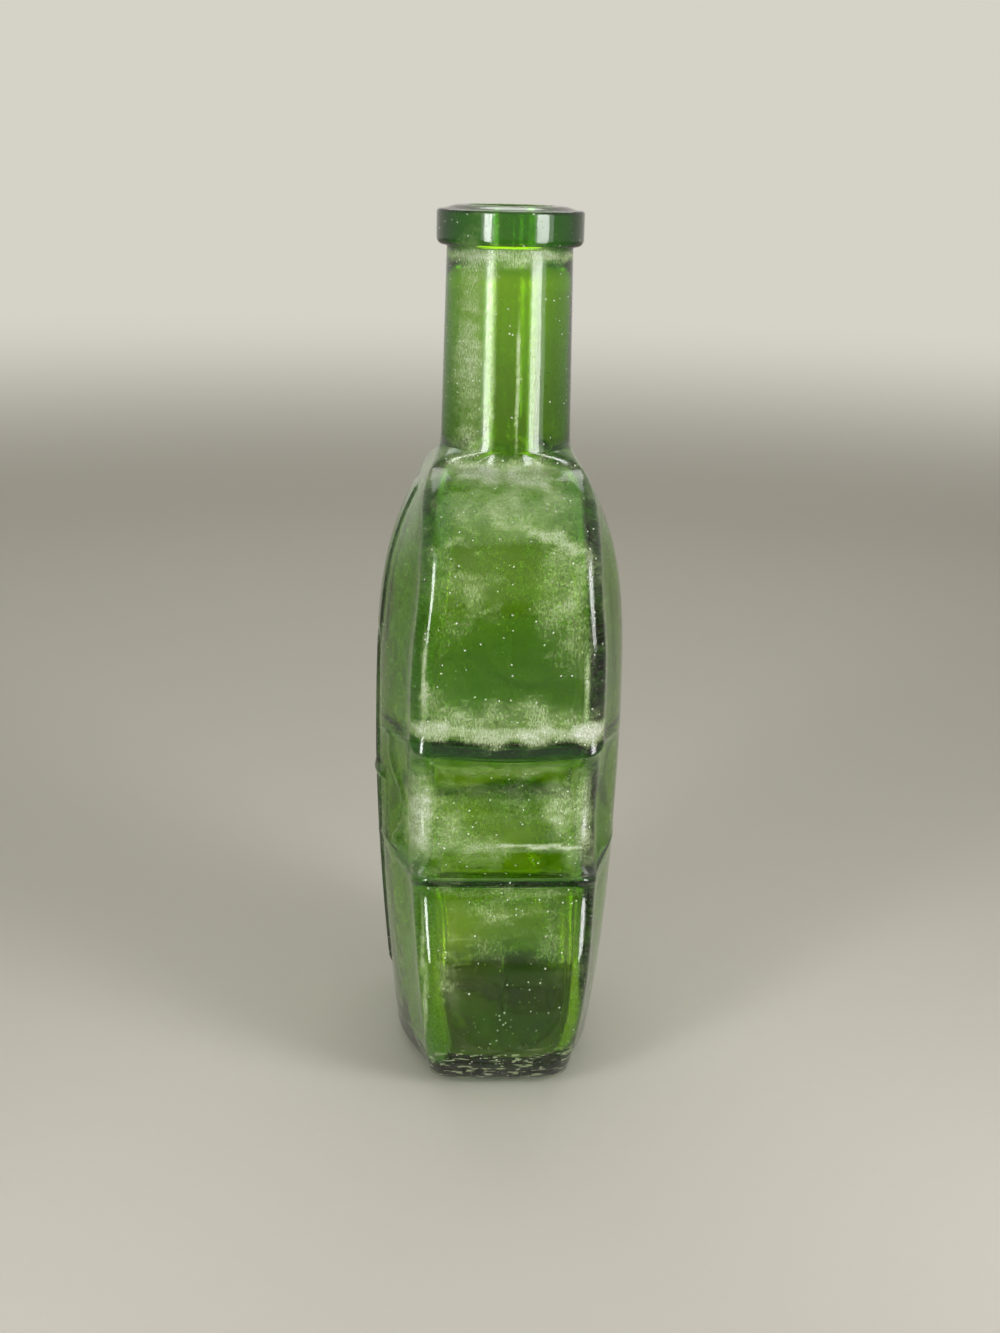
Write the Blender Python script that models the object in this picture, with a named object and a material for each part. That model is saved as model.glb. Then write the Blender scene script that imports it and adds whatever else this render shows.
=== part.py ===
"""Violin-shaped bottle of moulded green glass, empty and open at the mouth.

The bottle stands on its foot with +Z up. X runs across the width of the violin and the
front, with its low relief, faces -Y. The origin is the middle of the foot.

The glass is one loft. Level rings run from the middle of the hollow foot out to the
standing ring, up the outside of the body and neck, over the lip, down the bore and the
inner wall, and end in the middle of the inner floor. In the body a ring is a rib wall
with rounded edges and an arched plate in front and behind. Towards the neck it turns
into a circle.
"""

import math

import bmesh
import bpy

# Heights above the foot, in metres
TOTAL_HEIGHT = 0.2030
NECK_ROOT_HEIGHT = 0.1490
UPPER_BOUT_HEIGHT = 0.1150
UPPER_CORNER_HEIGHT = 0.0820
LOWER_CORNER_HEIGHT = 0.0557
LOWER_BOUT_HEIGHT = 0.0300
DEEPEST_HEIGHT = 0.0770

# Half-widths of the violin outline, across X
UPPER_BOUT_HALF_WIDTH = 0.0378
UPPER_CORNER_HALF_WIDTH = 0.0362
WAIST_HALF_WIDTH = 0.0265
LOWER_CORNER_HALF_WIDTH = 0.0397
LOWER_BOUT_HALF_WIDTH = 0.0440

# How the outline bends between those places
UPPER_DRAW_IN = 0.0060
LOWER_DRAW_IN = 0.0110
LOWER_BOUT_DROP = 0.0424
SHOULDER_WIDTH_POWER = 2.8
RIB_ROOT_DROP = 0.0034
CORNER_FLARE_POWER = 6
CORNER_TIP_RADIUS = 0.0014
CORNER_CROWDING_POWER = 0.7

# How the ends of the four corners sweep towards the plates
CORNER_SWEEP_SPAN = 0.0120
UPPER_CORNER_BOW = 0.0013
UPPER_CORNER_SWEEP = 0.0020
LOWER_CORNER_BOW = 0.0003
LOWER_CORNER_SWEEP = 0.0012

# Half-depths of the arched plates, across Y
DEEPEST_HALF_DEPTH = 0.0294
FOOT_HALF_DEPTH = 0.0233
ARCH_HEIGHT = 0.0072
BODY_DEPTH_POWER = 1.6
SHOULDER_DEPTH_POWER = 4.0
SHOULDER_ARCH_POWER = 2
ARCH_SHARE_AT_NECK = -0.70
PLATE_ROOT_DROP = 0.0014
ARCH_POWER = 1.5

# Rib wall
RIB_EDGE_RADIUS = 0.0046
RIB_EDGE_LARGEST_SHARE = 0.45
RIB_CROWN = 0.0008
ROUND_TURN_POWER = 9

# Neck, bore and lip
NECK_ROOT_RADIUS = 0.0151
NECK_TOP_RADIUS = 0.0144
NECK_ROOT_BLEND = 0.0030
BORE_RADIUS = 0.0115
MOUTH_RADIUS = 0.0097
MOUTH_DEPTH = 0.0100
BORE_TAPER_LENGTH = 0.0060
LIP_RADIUS = 0.0168
LIP_BAND_HEIGHT = 0.0080
LIP_LOWER_ROUND = 0.0016
LIP_UPPER_ROUND = 0.0008
LIP_SLOPE_HEIGHT = 0.0009
LIP_FLAT_WIDTH = 0.0014
MOUTH_ROUND = 0.0005
UNDER_LIP_FILLET = 0.0006

# Glass thickness and foot
WALL = 0.0027
CORNER_FILL = 0.0050
FLOOR_THICKNESS = 0.0060
FLOOR_CROWN = 0.0008
INNER_HEEL_RADIUS = 0.0060
HEEL_RADIUS = 0.0040
PUSH_UP_HEIGHT = 0.0022
STANDING_RING_SHARE = 0.80
INNER_FLOOR_SHARES = (0.66, 0.33)

# Low relief on the front plate
BOARD_RELIEF = 0.0005
BRIDGE_RELIEF = 0.0008
STRING_RELIEF = 0.0004
SOUND_HOLE_RELIEF = 0.0005
RELIEF_ROOT = 0.0012
RELIEF_DRAFT = 0.0002
FINGERBOARD_TOP_HEIGHT = 0.1400
FINGERBOARD_END_HEIGHT = 0.1040
FINGERBOARD_TOP_HALF_WIDTH = 0.0060
FINGERBOARD_END_HALF_WIDTH = 0.0075
BRIDGE_HEIGHT = 0.0700
BRIDGE_HALF_WIDTH = 0.0090
BRIDGE_HALF_THICKNESS = 0.0012
TAILPIECE_TOP_HEIGHT = 0.0545
TAILPIECE_END_HEIGHT = 0.0200
TAILPIECE_TOP_HALF_WIDTH = 0.0070
TAILPIECE_END_HALF_WIDTH = 0.0045
STRING_HALF_WIDTH = 0.0005
STRING_COUNT = 4
STRING_OVERLAP = 0.0006
STRING_SPREAD_AT_BOARD = 0.55
STRING_SPREAD_AT_TAILPIECE = 0.70
SOUND_HOLE_HALF_LENGTH = 0.0120
SOUND_HOLE_CENTRE_OFFSET = 0.0165
SOUND_HOLE_SWAY = 0.0026
SOUND_HOLE_LEAN = 0.10
SOUND_HOLE_HALF_WIDTH = 0.0011
SOUND_HOLE_END_HALF_WIDTH = 0.0017
SOUND_HOLE_END_POWER = 4

# Facets of one quarter of a ring
ARCH_FACETS = 5
EDGE_FACETS = 3
RIB_FACETS = 2

# Facets up the outline, round its bends, and along and across the relief
OUTER_FACETS = 6
INNER_FACETS = 4
HEEL_FACETS = 4
ROUND_FACETS = 3
MOUTH_FACETS = 2
STRIP_FACETS = 6
STRING_FACETS = 7
SOUND_HOLE_FACETS = 10
BOARD_COLUMNS = 4
BRIDGE_COLUMNS = 2
SHARP_EDGE_ANGLE = math.radians(35)

GLASS_COLOUR = (0.035, 0.230, 0.012, 1.0)
GLASS_ROUGHNESS = 0.06
GLASS_IOR = 1.52


def steps(first, last, count):
    """Return count + 1 evenly spaced values from first to last."""
    return [first + (last - first) * i / count for i in range(count + 1)]


def soft_max(first, second, reach):
    """Return the larger value, rounded off where the two come within reach."""
    overlap = max(reach - abs(first - second), 0.0) / reach
    return max(first, second) + overlap * overlap * reach / 4


def neck_radius(z, inset):
    """Outer radius of the neck at height z, or the radius of the bore."""
    if inset:
        return BORE_RADIUS
    share = (z - NECK_ROOT_HEIGHT) / (lip_underside() - NECK_ROOT_HEIGHT)
    return NECK_ROOT_RADIUS + (NECK_TOP_RADIUS - NECK_ROOT_RADIUS) * max(share, 0.0)


def lip_underside():
    """Height of the lower face of the lip."""
    return TOTAL_HEIGHT - LIP_SLOPE_HEIGHT - LIP_BAND_HEIGHT


def shoulder(z, wide, bout_height, root_height, power, inset):
    """Half-size of the shoulder at height z, closing from the bout to the neck."""
    root = root_height - inset
    narrow = neck_radius(root, inset)
    share = max(z - bout_height, 0.0) / (root - bout_height)
    closing = narrow + (wide - inset - narrow) * (1 - share ** power)
    return soft_max(closing, neck_radius(z, inset), NECK_ROOT_BLEND)


def plate_half_depth(z, inset):
    """Half-depth over the crowns of the two plates at height z."""
    if z > DEEPEST_HEIGHT:
        root = NECK_ROOT_HEIGHT - PLATE_ROOT_DROP
        return shoulder(z, DEEPEST_HALF_DEPTH, DEEPEST_HEIGHT, root, SHOULDER_DEPTH_POWER, inset)
    share = (DEEPEST_HEIGHT - z) / DEEPEST_HEIGHT
    loss = (DEEPEST_HALF_DEPTH - FOOT_HALF_DEPTH) * share ** BODY_DEPTH_POWER
    return DEEPEST_HALF_DEPTH - inset - loss


def neck_share(z, inset):
    """How far height z is on the way from the upper bout to the neck, from 0 to 1."""
    share = (z - UPPER_BOUT_HEIGHT) / (NECK_ROOT_HEIGHT - inset - UPPER_BOUT_HEIGHT)
    return min(max(share, 0.0), 1.0)


def rib_half_depth(z, inset):
    """Half-depth at the edges of the rib wall at height z."""
    flattening = (1 - ARCH_SHARE_AT_NECK) * neck_share(z, inset) ** SHOULDER_ARCH_POWER
    arch = ARCH_HEIGHT * (1 - flattening)
    return plate_half_depth(z, inset) - arch


def heel_loss(height, radius):
    """How far a rounded heel draws in at a height above its lowest edge."""
    below = max(1 - height / radius, 0.0)
    return radius * (1 - math.sqrt(1 - below * below))


def corner_sweep(z, across, turned):
    """How far the end of a corner rises or sinks towards the plate.

    Across is the share of the way from the middle of the rib to its edge, and turned the
    share of the way round the rounded edge to the plate.
    """
    near_upper = max(1 - abs(z - UPPER_CORNER_HEIGHT) / CORNER_SWEEP_SPAN, 0.0)
    near_lower = max(1 - abs(z - LOWER_CORNER_HEIGHT) / CORNER_SWEEP_SPAN, 0.0)
    upper = UPPER_CORNER_BOW * across ** 2 + UPPER_CORNER_SWEEP * turned ** 2
    lower = LOWER_CORNER_BOW * across ** 2 + LOWER_CORNER_SWEEP * turned ** 2
    return near_upper ** 2 * upper - near_lower ** 2 * lower


def quarter_section(z, half_width, rib_depth, plate_depth):
    """Points x, y and rise of the section, from the crown of the plate to the middle of the rib."""
    edge = min(RIB_EDGE_RADIUS, RIB_EDGE_LARGEST_SHARE * rib_depth)
    reach = half_width - RIB_CROWN - edge
    arch = plate_depth - rib_depth
    points = []
    for share in steps(0, 1, ARCH_FACETS)[:-1]:
        y = rib_depth + arch * (1 - share * share) ** ARCH_POWER
        points.append((reach * share, y, corner_sweep(z, share, share)))
    for share in steps(0, 1, EDGE_FACETS)[:-1]:
        angle = share * math.pi / 2
        y = rib_depth - edge + edge * math.cos(angle)
        rise = corner_sweep(z, y / rib_depth, 1 - share)
        points.append((reach + edge * math.sin(angle), y, rise))
    for share in steps(1, 0, RIB_FACETS):
        y = (rib_depth - edge) * share
        points.append((half_width - RIB_CROWN * share * share, y, corner_sweep(z, y / rib_depth, 0.0)))
    return points


def full_ring(quarter, z):
    """Mirror a quarter section into a closed ring, counter-clockwise from +X."""
    rising = quarter[:0:-1]
    falling = quarter[:-1]
    ring = [(x, y, z + rise) for x, y, rise in rising]
    ring += [(-x, y, z + rise) for x, y, rise in falling]
    ring += [(-x, -y, z + rise) for x, y, rise in rising]
    ring += [(x, -y, z + rise) for x, y, rise in falling]
    return ring


def round_quarter(half_width, half_depth):
    """A level quarter of an ellipse with as many points as a body section."""
    facets = ARCH_FACETS + EDGE_FACETS + RIB_FACETS
    angles = steps(0, math.pi / 2, facets)
    return [(half_width * math.sin(a), half_depth * math.cos(a), 0.0) for a in angles]


def body_ring(z, half_width, inset, loss=0.0, scale=1.0, level=None):
    """Ring of the body at height z, drawn in by loss and turned round towards the neck."""
    plate = plate_half_depth(z, inset) - loss
    rib = rib_half_depth(z, inset) - loss
    half_width = half_width - loss
    roundness = neck_share(z, inset) ** ROUND_TURN_POWER
    square = quarter_section(z, half_width, rib, plate)
    circle = round_quarter(half_width, plate)
    quarter = []
    for (sx, sy, rise), (cx, cy, _) in zip(square, circle):
        x = sx + (cx - sx) * roundness
        y = sy + (cy - sy) * roundness
        quarter.append((x * scale, y * scale, rise))
    return full_ring(quarter, z if level is None else level)


def circle_ring(radius, z):
    """Round ring of the lip, neck and bore."""
    return full_ring(round_quarter(radius, radius), z)


def round_corner(path, tip, radius, facets):
    """Replace the point at index tip of a path by a small arc."""
    corner = path[tip]
    into = direction(corner, path[tip - 1])
    out = direction(corner, path[tip + 1])
    half_angle = math.acos(into[0] * out[0] + into[1] * out[1]) / 2
    setback = radius / math.tan(half_angle)
    start = (corner[0] + into[0] * setback, corner[1] + into[1] * setback)
    end = (corner[0] + out[0] * setback, corner[1] + out[1] * setback)
    arc = []
    for t in steps(0, 1, facets):
        arc.append(tuple((1 - t) ** 2 * s + 2 * t * (1 - t) * c + t * t * e
                         for s, c, e in zip(start, corner, end)))
    return path[:tip] + arc + path[tip + 1:]


def direction(start, end):
    """Unit vector in the plane from start to end."""
    length = math.dist(start, end)
    return ((end[0] - start[0]) / length, (end[1] - start[1]) / length)


def bout_to_corner(share, bout, corner, draw_in):
    """Half-width from a bout, drawing in and then flaring out to a corner."""
    drawn = bout - draw_in
    return bout - draw_in * share ** 2 + (corner - drawn) * share ** CORNER_FLARE_POWER


def lower_bout_half_width(z, inset):
    """Half-width of the round end of the lower bout at height z."""
    share = (LOWER_BOUT_HEIGHT - z) / (LOWER_BOUT_DROP - inset)
    return (LOWER_BOUT_HALF_WIDTH - inset) * math.sqrt(1 - share * share)


def violin_outline(inset, start, facets):
    """Heights and half-widths of the violin outline, from height start to the neck root.

    The inner wall keeps the glass thickness as its inset, and leaves the four corners
    filled with glass.
    """
    fill = CORNER_FILL if inset else 0.0
    lower_tip = LOWER_CORNER_HALF_WIDTH - fill
    upper_tip = UPPER_CORNER_HALF_WIDTH - fill
    lower_z = LOWER_CORNER_HEIGHT - inset
    upper_z = UPPER_CORNER_HEIGHT + inset
    lower_bout = LOWER_BOUT_HALF_WIDTH - inset
    upper_bout = UPPER_BOUT_HALF_WIDTH - inset
    path = []
    for z in steps(start, LOWER_BOUT_HEIGHT, facets)[:-1]:
        path.append((z, lower_bout_half_width(z, inset)))
    for share in steps(0, 1, facets):
        z = LOWER_BOUT_HEIGHT + (lower_z - LOWER_BOUT_HEIGHT) * share ** CORNER_CROWDING_POWER
        rise = (z - LOWER_BOUT_HEIGHT) / (lower_z - LOWER_BOUT_HEIGHT)
        path.append((z, bout_to_corner(rise, lower_bout, lower_tip, LOWER_DRAW_IN)))
    lower_index = len(path) - 1
    middle = (upper_z + lower_z) / 2
    reach = (upper_z - lower_z) / 2
    for angle in steps(-math.pi / 2, math.pi / 2, 2 * facets)[1:]:
        side = (math.sin(angle) + 1) / 2
        line = lower_tip + (upper_tip - lower_tip) * side
        waist = WAIST_HALF_WIDTH - inset
        path.append((middle + reach * math.sin(angle), line + (waist - line) * math.cos(angle)))
    upper_index = len(path) - 1
    for share in steps(1, 0, facets)[1:]:
        z = UPPER_BOUT_HEIGHT + (upper_z - UPPER_BOUT_HEIGHT) * share ** CORNER_CROWDING_POWER
        rise = (z - UPPER_BOUT_HEIGHT) / (upper_z - UPPER_BOUT_HEIGHT)
        path.append((z, bout_to_corner(rise, upper_bout, upper_tip, UPPER_DRAW_IN)))
    root = NECK_ROOT_HEIGHT - inset
    for share in steps(0, 1, 2 * facets)[1:]:
        z = UPPER_BOUT_HEIGHT + (root - UPPER_BOUT_HEIGHT) * math.sin(share * math.pi / 2)
        path.append((z, shoulder_half_width(z, inset)))
    path = round_corner(path, upper_index, CORNER_TIP_RADIUS + inset, ROUND_FACETS)
    return round_corner(path, lower_index, CORNER_TIP_RADIUS + inset, ROUND_FACETS)


def shoulder_half_width(z, inset):
    """Half-width of the shoulder at height z."""
    root = NECK_ROOT_HEIGHT - RIB_ROOT_DROP
    return shoulder(z, UPPER_BOUT_HALF_WIDTH, UPPER_BOUT_HEIGHT, root, SHOULDER_WIDTH_POWER, inset)


def foot_rings():
    """Rings of the hollow under the foot and of its flat standing ring."""
    half_width = lower_bout_half_width(0.0, 0.0)
    rings = []
    for share in steps(0, STANDING_RING_SHARE, ROUND_FACETS)[1:]:
        fall = (share / STANDING_RING_SHARE) ** 2
        level = PUSH_UP_HEIGHT * (1 - fall)
        rings.append(body_ring(0.0, half_width, 0.0, HEEL_RADIUS, share, level))
    rings.append(body_ring(0.0, half_width, 0.0, HEEL_RADIUS))
    return rings


def heel_rings(floor, radius, inset):
    """Rings of a rounded heel, from its lowest edge up to where the wall begins."""
    rings = []
    for angle in steps(0, math.pi / 2, HEEL_FACETS):
        rise = radius * (1 - math.cos(angle))
        half_width = lower_bout_half_width(floor + rise, inset)
        rings.append(body_ring(floor + rise, half_width, inset, heel_loss(rise, radius)))
    return rings


def outer_body_rings():
    """Rings of the heel and the outside of the body, up to the neck root."""
    rings = heel_rings(0.0, HEEL_RADIUS, 0.0)[1:]
    for z, half_width in violin_outline(0.0, HEEL_RADIUS, OUTER_FACETS)[1:]:
        rings.append(body_ring(z, half_width, 0.0))
    return rings


def neck_rings():
    """Rings of the neck, with the blend at its root and the fillet under the lip."""
    rings = []
    for rise in steps(0, NECK_ROOT_BLEND, ROUND_FACETS)[1:]:
        z = NECK_ROOT_HEIGHT + rise
        half_width = shoulder_half_width(z, 0.0)
        rings.append(full_ring(round_quarter(half_width, plate_half_depth(z, 0.0)), z))
    top = lip_underside() - UNDER_LIP_FILLET
    rings.append(circle_ring(neck_radius(top, 0.0), top))
    return rings


def lip_rings():
    """Rings of the lip: fillet, rounded band, sloping top, flat round the mouth and its edge."""
    top = TOTAL_HEIGHT - LIP_SLOPE_HEIGHT
    under = lip_underside()
    rings = [circle_ring(NECK_TOP_RADIUS + UNDER_LIP_FILLET, under)]
    for angle in steps(0, math.pi / 2, ROUND_FACETS):
        radius = LIP_RADIUS - LIP_LOWER_ROUND * (1 - math.sin(angle))
        rings.append(circle_ring(radius, under + LIP_LOWER_ROUND * (1 - math.cos(angle))))
    for angle in steps(0, math.pi / 2, ROUND_FACETS):
        radius = LIP_RADIUS - LIP_UPPER_ROUND * (1 - math.cos(angle))
        rings.append(circle_ring(radius, top - LIP_UPPER_ROUND * (1 - math.sin(angle))))
    rings.append(circle_ring(MOUTH_RADIUS + MOUTH_ROUND + LIP_FLAT_WIDTH, TOTAL_HEIGHT))
    for angle in steps(math.pi / 2, 0, MOUTH_FACETS):
        radius = MOUTH_RADIUS + MOUTH_ROUND * (1 - math.cos(angle))
        rings.append(circle_ring(radius, TOTAL_HEIGHT - MOUTH_ROUND * (1 - math.sin(angle))))
    return rings


def inner_rings():
    """Rings of the mouth, the wider bore and the inner wall, down to the rounded inner floor."""
    root = NECK_ROOT_HEIGHT - WALL
    rings = []
    for share in steps(0, 1, ROUND_FACETS):
        radius = MOUTH_RADIUS + (BORE_RADIUS - MOUTH_RADIUS) * (1 - math.cos(math.pi * share)) / 2
        rings.append(circle_ring(radius, TOTAL_HEIGHT - MOUTH_DEPTH - BORE_TAPER_LENGTH * share))
    for rise in steps(NECK_ROOT_BLEND, 0, MOUTH_FACETS)[:-1]:
        z = root + rise
        half_width = shoulder_half_width(z, WALL)
        rings.append(full_ring(round_quarter(half_width, plate_half_depth(z, WALL)), z))
    floor = FLOOR_THICKNESS
    outline = violin_outline(WALL, floor + INNER_HEEL_RADIUS, INNER_FACETS)
    for z, half_width in reversed(outline[1:]):
        rings.append(body_ring(z, half_width, WALL))
    rings += reversed(heel_rings(floor, INNER_HEEL_RADIUS, WALL))
    half_width = lower_bout_half_width(floor, WALL)
    for share in INNER_FLOOR_SHARES:
        level = floor + FLOOR_CROWN * (1 - share * share)
        rings.append(body_ring(floor, half_width, WALL, INNER_HEEL_RADIUS, share, level))
    return rings


def loft(name, rings, first_centre, last_centre):
    """Join rings of equal count into one closed surface, capped at both ends."""
    mesh = bpy.data.meshes.new(name)
    edit = bmesh.new()
    loops = [[edit.verts.new(point) for point in ring] for ring in rings]
    count = len(loops[0])
    first = edit.verts.new(first_centre)
    last = edit.verts.new(last_centre)
    for j in range(count):
        k = (j + 1) % count
        edit.faces.new((first, loops[0][k], loops[0][j]))
        edit.faces.new((last, loops[-1][j], loops[-1][k]))
        for lower, upper in zip(loops, loops[1:]):
            edit.faces.new((lower[j], lower[k], upper[k], upper[j]))
    edit.to_mesh(mesh)
    edit.free()
    item = bpy.data.objects.new(name, mesh)
    bpy.context.collection.objects.link(item)
    return item


def front_depth(outline, x, z):
    """Depth of the front plate's surface over the point x, z."""
    rib = rib_half_depth(z, 0.0)
    half_width = outline_half_width(outline, z)
    reach = half_width - RIB_CROWN - RIB_EDGE_RADIUS
    share = min(abs(x) / reach, 1.0)
    return rib + (plate_half_depth(z, 0.0) - rib) * (1 - share * share) ** ARCH_POWER


def outline_half_width(outline, z):
    """Half-width of an outline at height z."""
    for (z0, w0), (z1, w1) in zip(outline, outline[1:]):
        if z0 <= z < z1:
            return w0 + (w1 - w0) * (z - z0) / (z1 - z0)
    return outline[-1][1]


def raised_strip(name, path, half_widths, columns, height):
    """Raise a strip along a path of x, z points, following the arch of the front plate."""
    outline = violin_outline(0.0, HEEL_RADIUS, OUTER_FACETS)
    rings = []
    for i, (x, z) in enumerate(path):
        before = path[max(i - 1, 0)]
        after = path[min(i + 1, len(path) - 1)]
        along = direction(before, after)
        across = (along[1], -along[0])
        top = []
        root = []
        for share in steps(-1, 1, columns):
            outer = (half_widths[i] - RELIEF_DRAFT) * share
            inner = half_widths[i] * share
            tx, tz = x + across[0] * outer, z + across[1] * outer
            rx, rz = x + across[0] * inner, z + across[1] * inner
            top.append((tx, -front_depth(outline, tx, tz) - height, tz))
            root.append((rx, -front_depth(outline, rx, rz) + RELIEF_ROOT, rz))
        rings.append(top + root[::-1])
    centres = []
    for ring in (rings[0], rings[-1]):
        centres.append([sum(values) / len(ring) for values in zip(*ring)])
    strip = loft(name, rings, centres[0], centres[1])
    strip.hide_render = True
    strip.display_type = "WIRE"
    return strip


def string_place(number, z):
    """X of a string at height z, spread from the fingerboard to the tailpiece."""
    share = (FINGERBOARD_END_HEIGHT - z) / (FINGERBOARD_END_HEIGHT - TAILPIECE_TOP_HEIGHT)
    top = FINGERBOARD_END_HALF_WIDTH * STRING_SPREAD_AT_BOARD
    bottom = TAILPIECE_TOP_HALF_WIDTH * STRING_SPREAD_AT_TAILPIECE
    spread = top + (bottom - top) * share
    return spread * (2 * number / (STRING_COUNT - 1) - 1)


def sound_hole_path(side):
    """Centre line of one f-shaped sound hole beside the bridge."""
    points = []
    for share in steps(-1, 1, SOUND_HOLE_FACETS):
        sway = SOUND_HOLE_SWAY * math.sin(math.pi * share)
        lean = SOUND_HOLE_LEAN * SOUND_HOLE_HALF_LENGTH * share
        x = side * (SOUND_HOLE_CENTRE_OFFSET - sway - lean)
        points.append((x, BRIDGE_HEIGHT + SOUND_HOLE_HALF_LENGTH * share))
    return points


def relief_strips():
    """Raised fingerboard, strings, bridge, tailpiece and sound holes of the front."""
    strips = []
    board_z = steps(FINGERBOARD_TOP_HEIGHT, FINGERBOARD_END_HEIGHT, STRIP_FACETS)
    board_path = [(0.0, z) for z in board_z]
    board_widths = steps(FINGERBOARD_TOP_HALF_WIDTH, FINGERBOARD_END_HALF_WIDTH, STRIP_FACETS)
    strips.append(raised_strip("relief_fingerboard", board_path, board_widths, BOARD_COLUMNS, BOARD_RELIEF))
    tail_z = steps(TAILPIECE_TOP_HEIGHT, TAILPIECE_END_HEIGHT, STRIP_FACETS)
    tail_path = [(0.0, z) for z in tail_z]
    tail_widths = steps(TAILPIECE_TOP_HALF_WIDTH, TAILPIECE_END_HALF_WIDTH, STRIP_FACETS)
    strips.append(raised_strip("relief_tailpiece", tail_path, tail_widths, BOARD_COLUMNS, BOARD_RELIEF))
    bridge_x = steps(-BRIDGE_HALF_WIDTH, BRIDGE_HALF_WIDTH, STRIP_FACETS)
    bridge_path = [(x, BRIDGE_HEIGHT) for x in bridge_x]
    bridge_widths = [BRIDGE_HALF_THICKNESS] * len(bridge_path)
    strips.append(raised_strip("relief_bridge", bridge_path, bridge_widths, BRIDGE_COLUMNS, BRIDGE_RELIEF))
    string_top = FINGERBOARD_END_HEIGHT + STRING_OVERLAP
    string_z = steps(string_top, TAILPIECE_TOP_HEIGHT - STRING_OVERLAP, STRING_FACETS)
    for number in range(STRING_COUNT):
        route = [(string_place(number, z), z) for z in string_z]
        widths = [STRING_HALF_WIDTH] * len(route)
        strips.append(raised_strip(f"relief_string_{number + 1}", route, widths, 1, STRING_RELIEF))
    for side, label in ((-1, "left"), (1, "right")):
        route = sound_hole_path(side)
        widths = []
        for share in steps(-1, 1, SOUND_HOLE_FACETS):
            swell = SOUND_HOLE_END_HALF_WIDTH - SOUND_HOLE_HALF_WIDTH
            widths.append(SOUND_HOLE_HALF_WIDTH + swell * abs(share) ** SOUND_HOLE_END_POWER)
        name = f"relief_sound_hole_{label}"
        strips.append(raised_strip(name, route, widths, 1, SOUND_HOLE_RELIEF))
    return strips


def fuse(body, strips):
    """Fuse the raised strips with the glass, as the mould forms them in one piece."""
    relief = bpy.data.collections.new("front_relief")
    for strip in strips:
        relief.objects.link(strip)
    union = body.modifiers.new("front_relief", "BOOLEAN")
    union.operation = "UNION"
    union.solver = "EXACT"
    union.operand_type = "COLLECTION"
    union.collection = relief


def glass_material():
    """Clear green soda-lime glass."""
    material = bpy.data.materials.new("green_glass")
    material.use_nodes = True
    shader = material.node_tree.nodes["Principled BSDF"]
    shader.inputs["Base Color"].default_value = GLASS_COLOUR
    shader.inputs["Metallic"].default_value = 0.0
    shader.inputs["Roughness"].default_value = GLASS_ROUGHNESS
    shader.inputs["IOR"].default_value = GLASS_IOR
    shader.inputs["Transmission Weight"].default_value = 1.0
    return material


def build_bottle():
    """Loft the glass, fuse the relief and shade the round surfaces smooth."""
    rings = foot_rings() + outer_body_rings() + neck_rings() + lip_rings() + inner_rings()
    foot_centre = (0.0, 0.0, PUSH_UP_HEIGHT)
    floor_centre = (0.0, 0.0, FLOOR_THICKNESS + FLOOR_CROWN)
    bottle = loft("bottle_glass", rings, foot_centre, floor_centre)
    bottle.data.materials.append(glass_material())
    bottle.data.shade_smooth()
    bottle.data.set_sharp_from_angle(angle=SHARP_EDGE_ANGLE)
    fuse(bottle, relief_strips())


def main():
    """Clear the scene and build the bottle."""
    for item in list(bpy.data.objects):
        bpy.data.objects.remove(item, do_unlink=True)
    build_bottle()


main()
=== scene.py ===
"""Looks of the violin-shaped bottle of moulded green glass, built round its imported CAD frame.

The glass is lofted again from the same sizes as the CAD part, with many more facets, the
soft relief that a mould gives, its seam and the slight waves of the inner wall. Lime has
dried on both faces of the glass, flakes of it cling to the outside of the foot, and a
studio stands round it all. Lengths are in metres, +Z is up, and the front with the relief
faces -Y.
"""

import logging
import math
from dataclasses import dataclass, replace
from enum import Enum

import bpy
import numpy as np
from mathutils import Matrix, Vector, noise


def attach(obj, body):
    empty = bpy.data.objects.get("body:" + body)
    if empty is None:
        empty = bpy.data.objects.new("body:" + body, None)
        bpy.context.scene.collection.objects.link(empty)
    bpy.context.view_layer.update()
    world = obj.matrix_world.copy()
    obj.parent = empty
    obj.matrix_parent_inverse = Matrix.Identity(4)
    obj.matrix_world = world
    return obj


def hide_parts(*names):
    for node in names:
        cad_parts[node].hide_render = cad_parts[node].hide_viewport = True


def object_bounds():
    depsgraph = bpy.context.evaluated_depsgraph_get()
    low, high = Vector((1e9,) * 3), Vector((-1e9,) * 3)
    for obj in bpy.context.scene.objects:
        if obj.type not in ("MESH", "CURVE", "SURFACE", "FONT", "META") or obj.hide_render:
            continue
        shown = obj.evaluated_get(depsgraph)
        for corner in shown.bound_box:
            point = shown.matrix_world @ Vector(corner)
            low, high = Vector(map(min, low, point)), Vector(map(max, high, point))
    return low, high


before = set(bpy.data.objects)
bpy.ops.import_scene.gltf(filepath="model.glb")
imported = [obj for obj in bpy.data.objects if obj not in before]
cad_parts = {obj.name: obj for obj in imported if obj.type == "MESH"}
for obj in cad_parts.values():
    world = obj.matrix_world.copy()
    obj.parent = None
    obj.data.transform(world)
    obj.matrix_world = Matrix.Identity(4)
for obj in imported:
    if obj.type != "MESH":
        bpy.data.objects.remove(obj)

CAD_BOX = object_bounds()
CAD_NODE = "bottle_glass"
MM = 0.001
QUARTER = math.pi / 2

Array = np.ndarray
Pairs = list[tuple[float, float]]
Socket = bpy.types.NodeSocket
Tree = bpy.types.NodeTree

log = logging.getLogger("violin_bottle")


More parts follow.
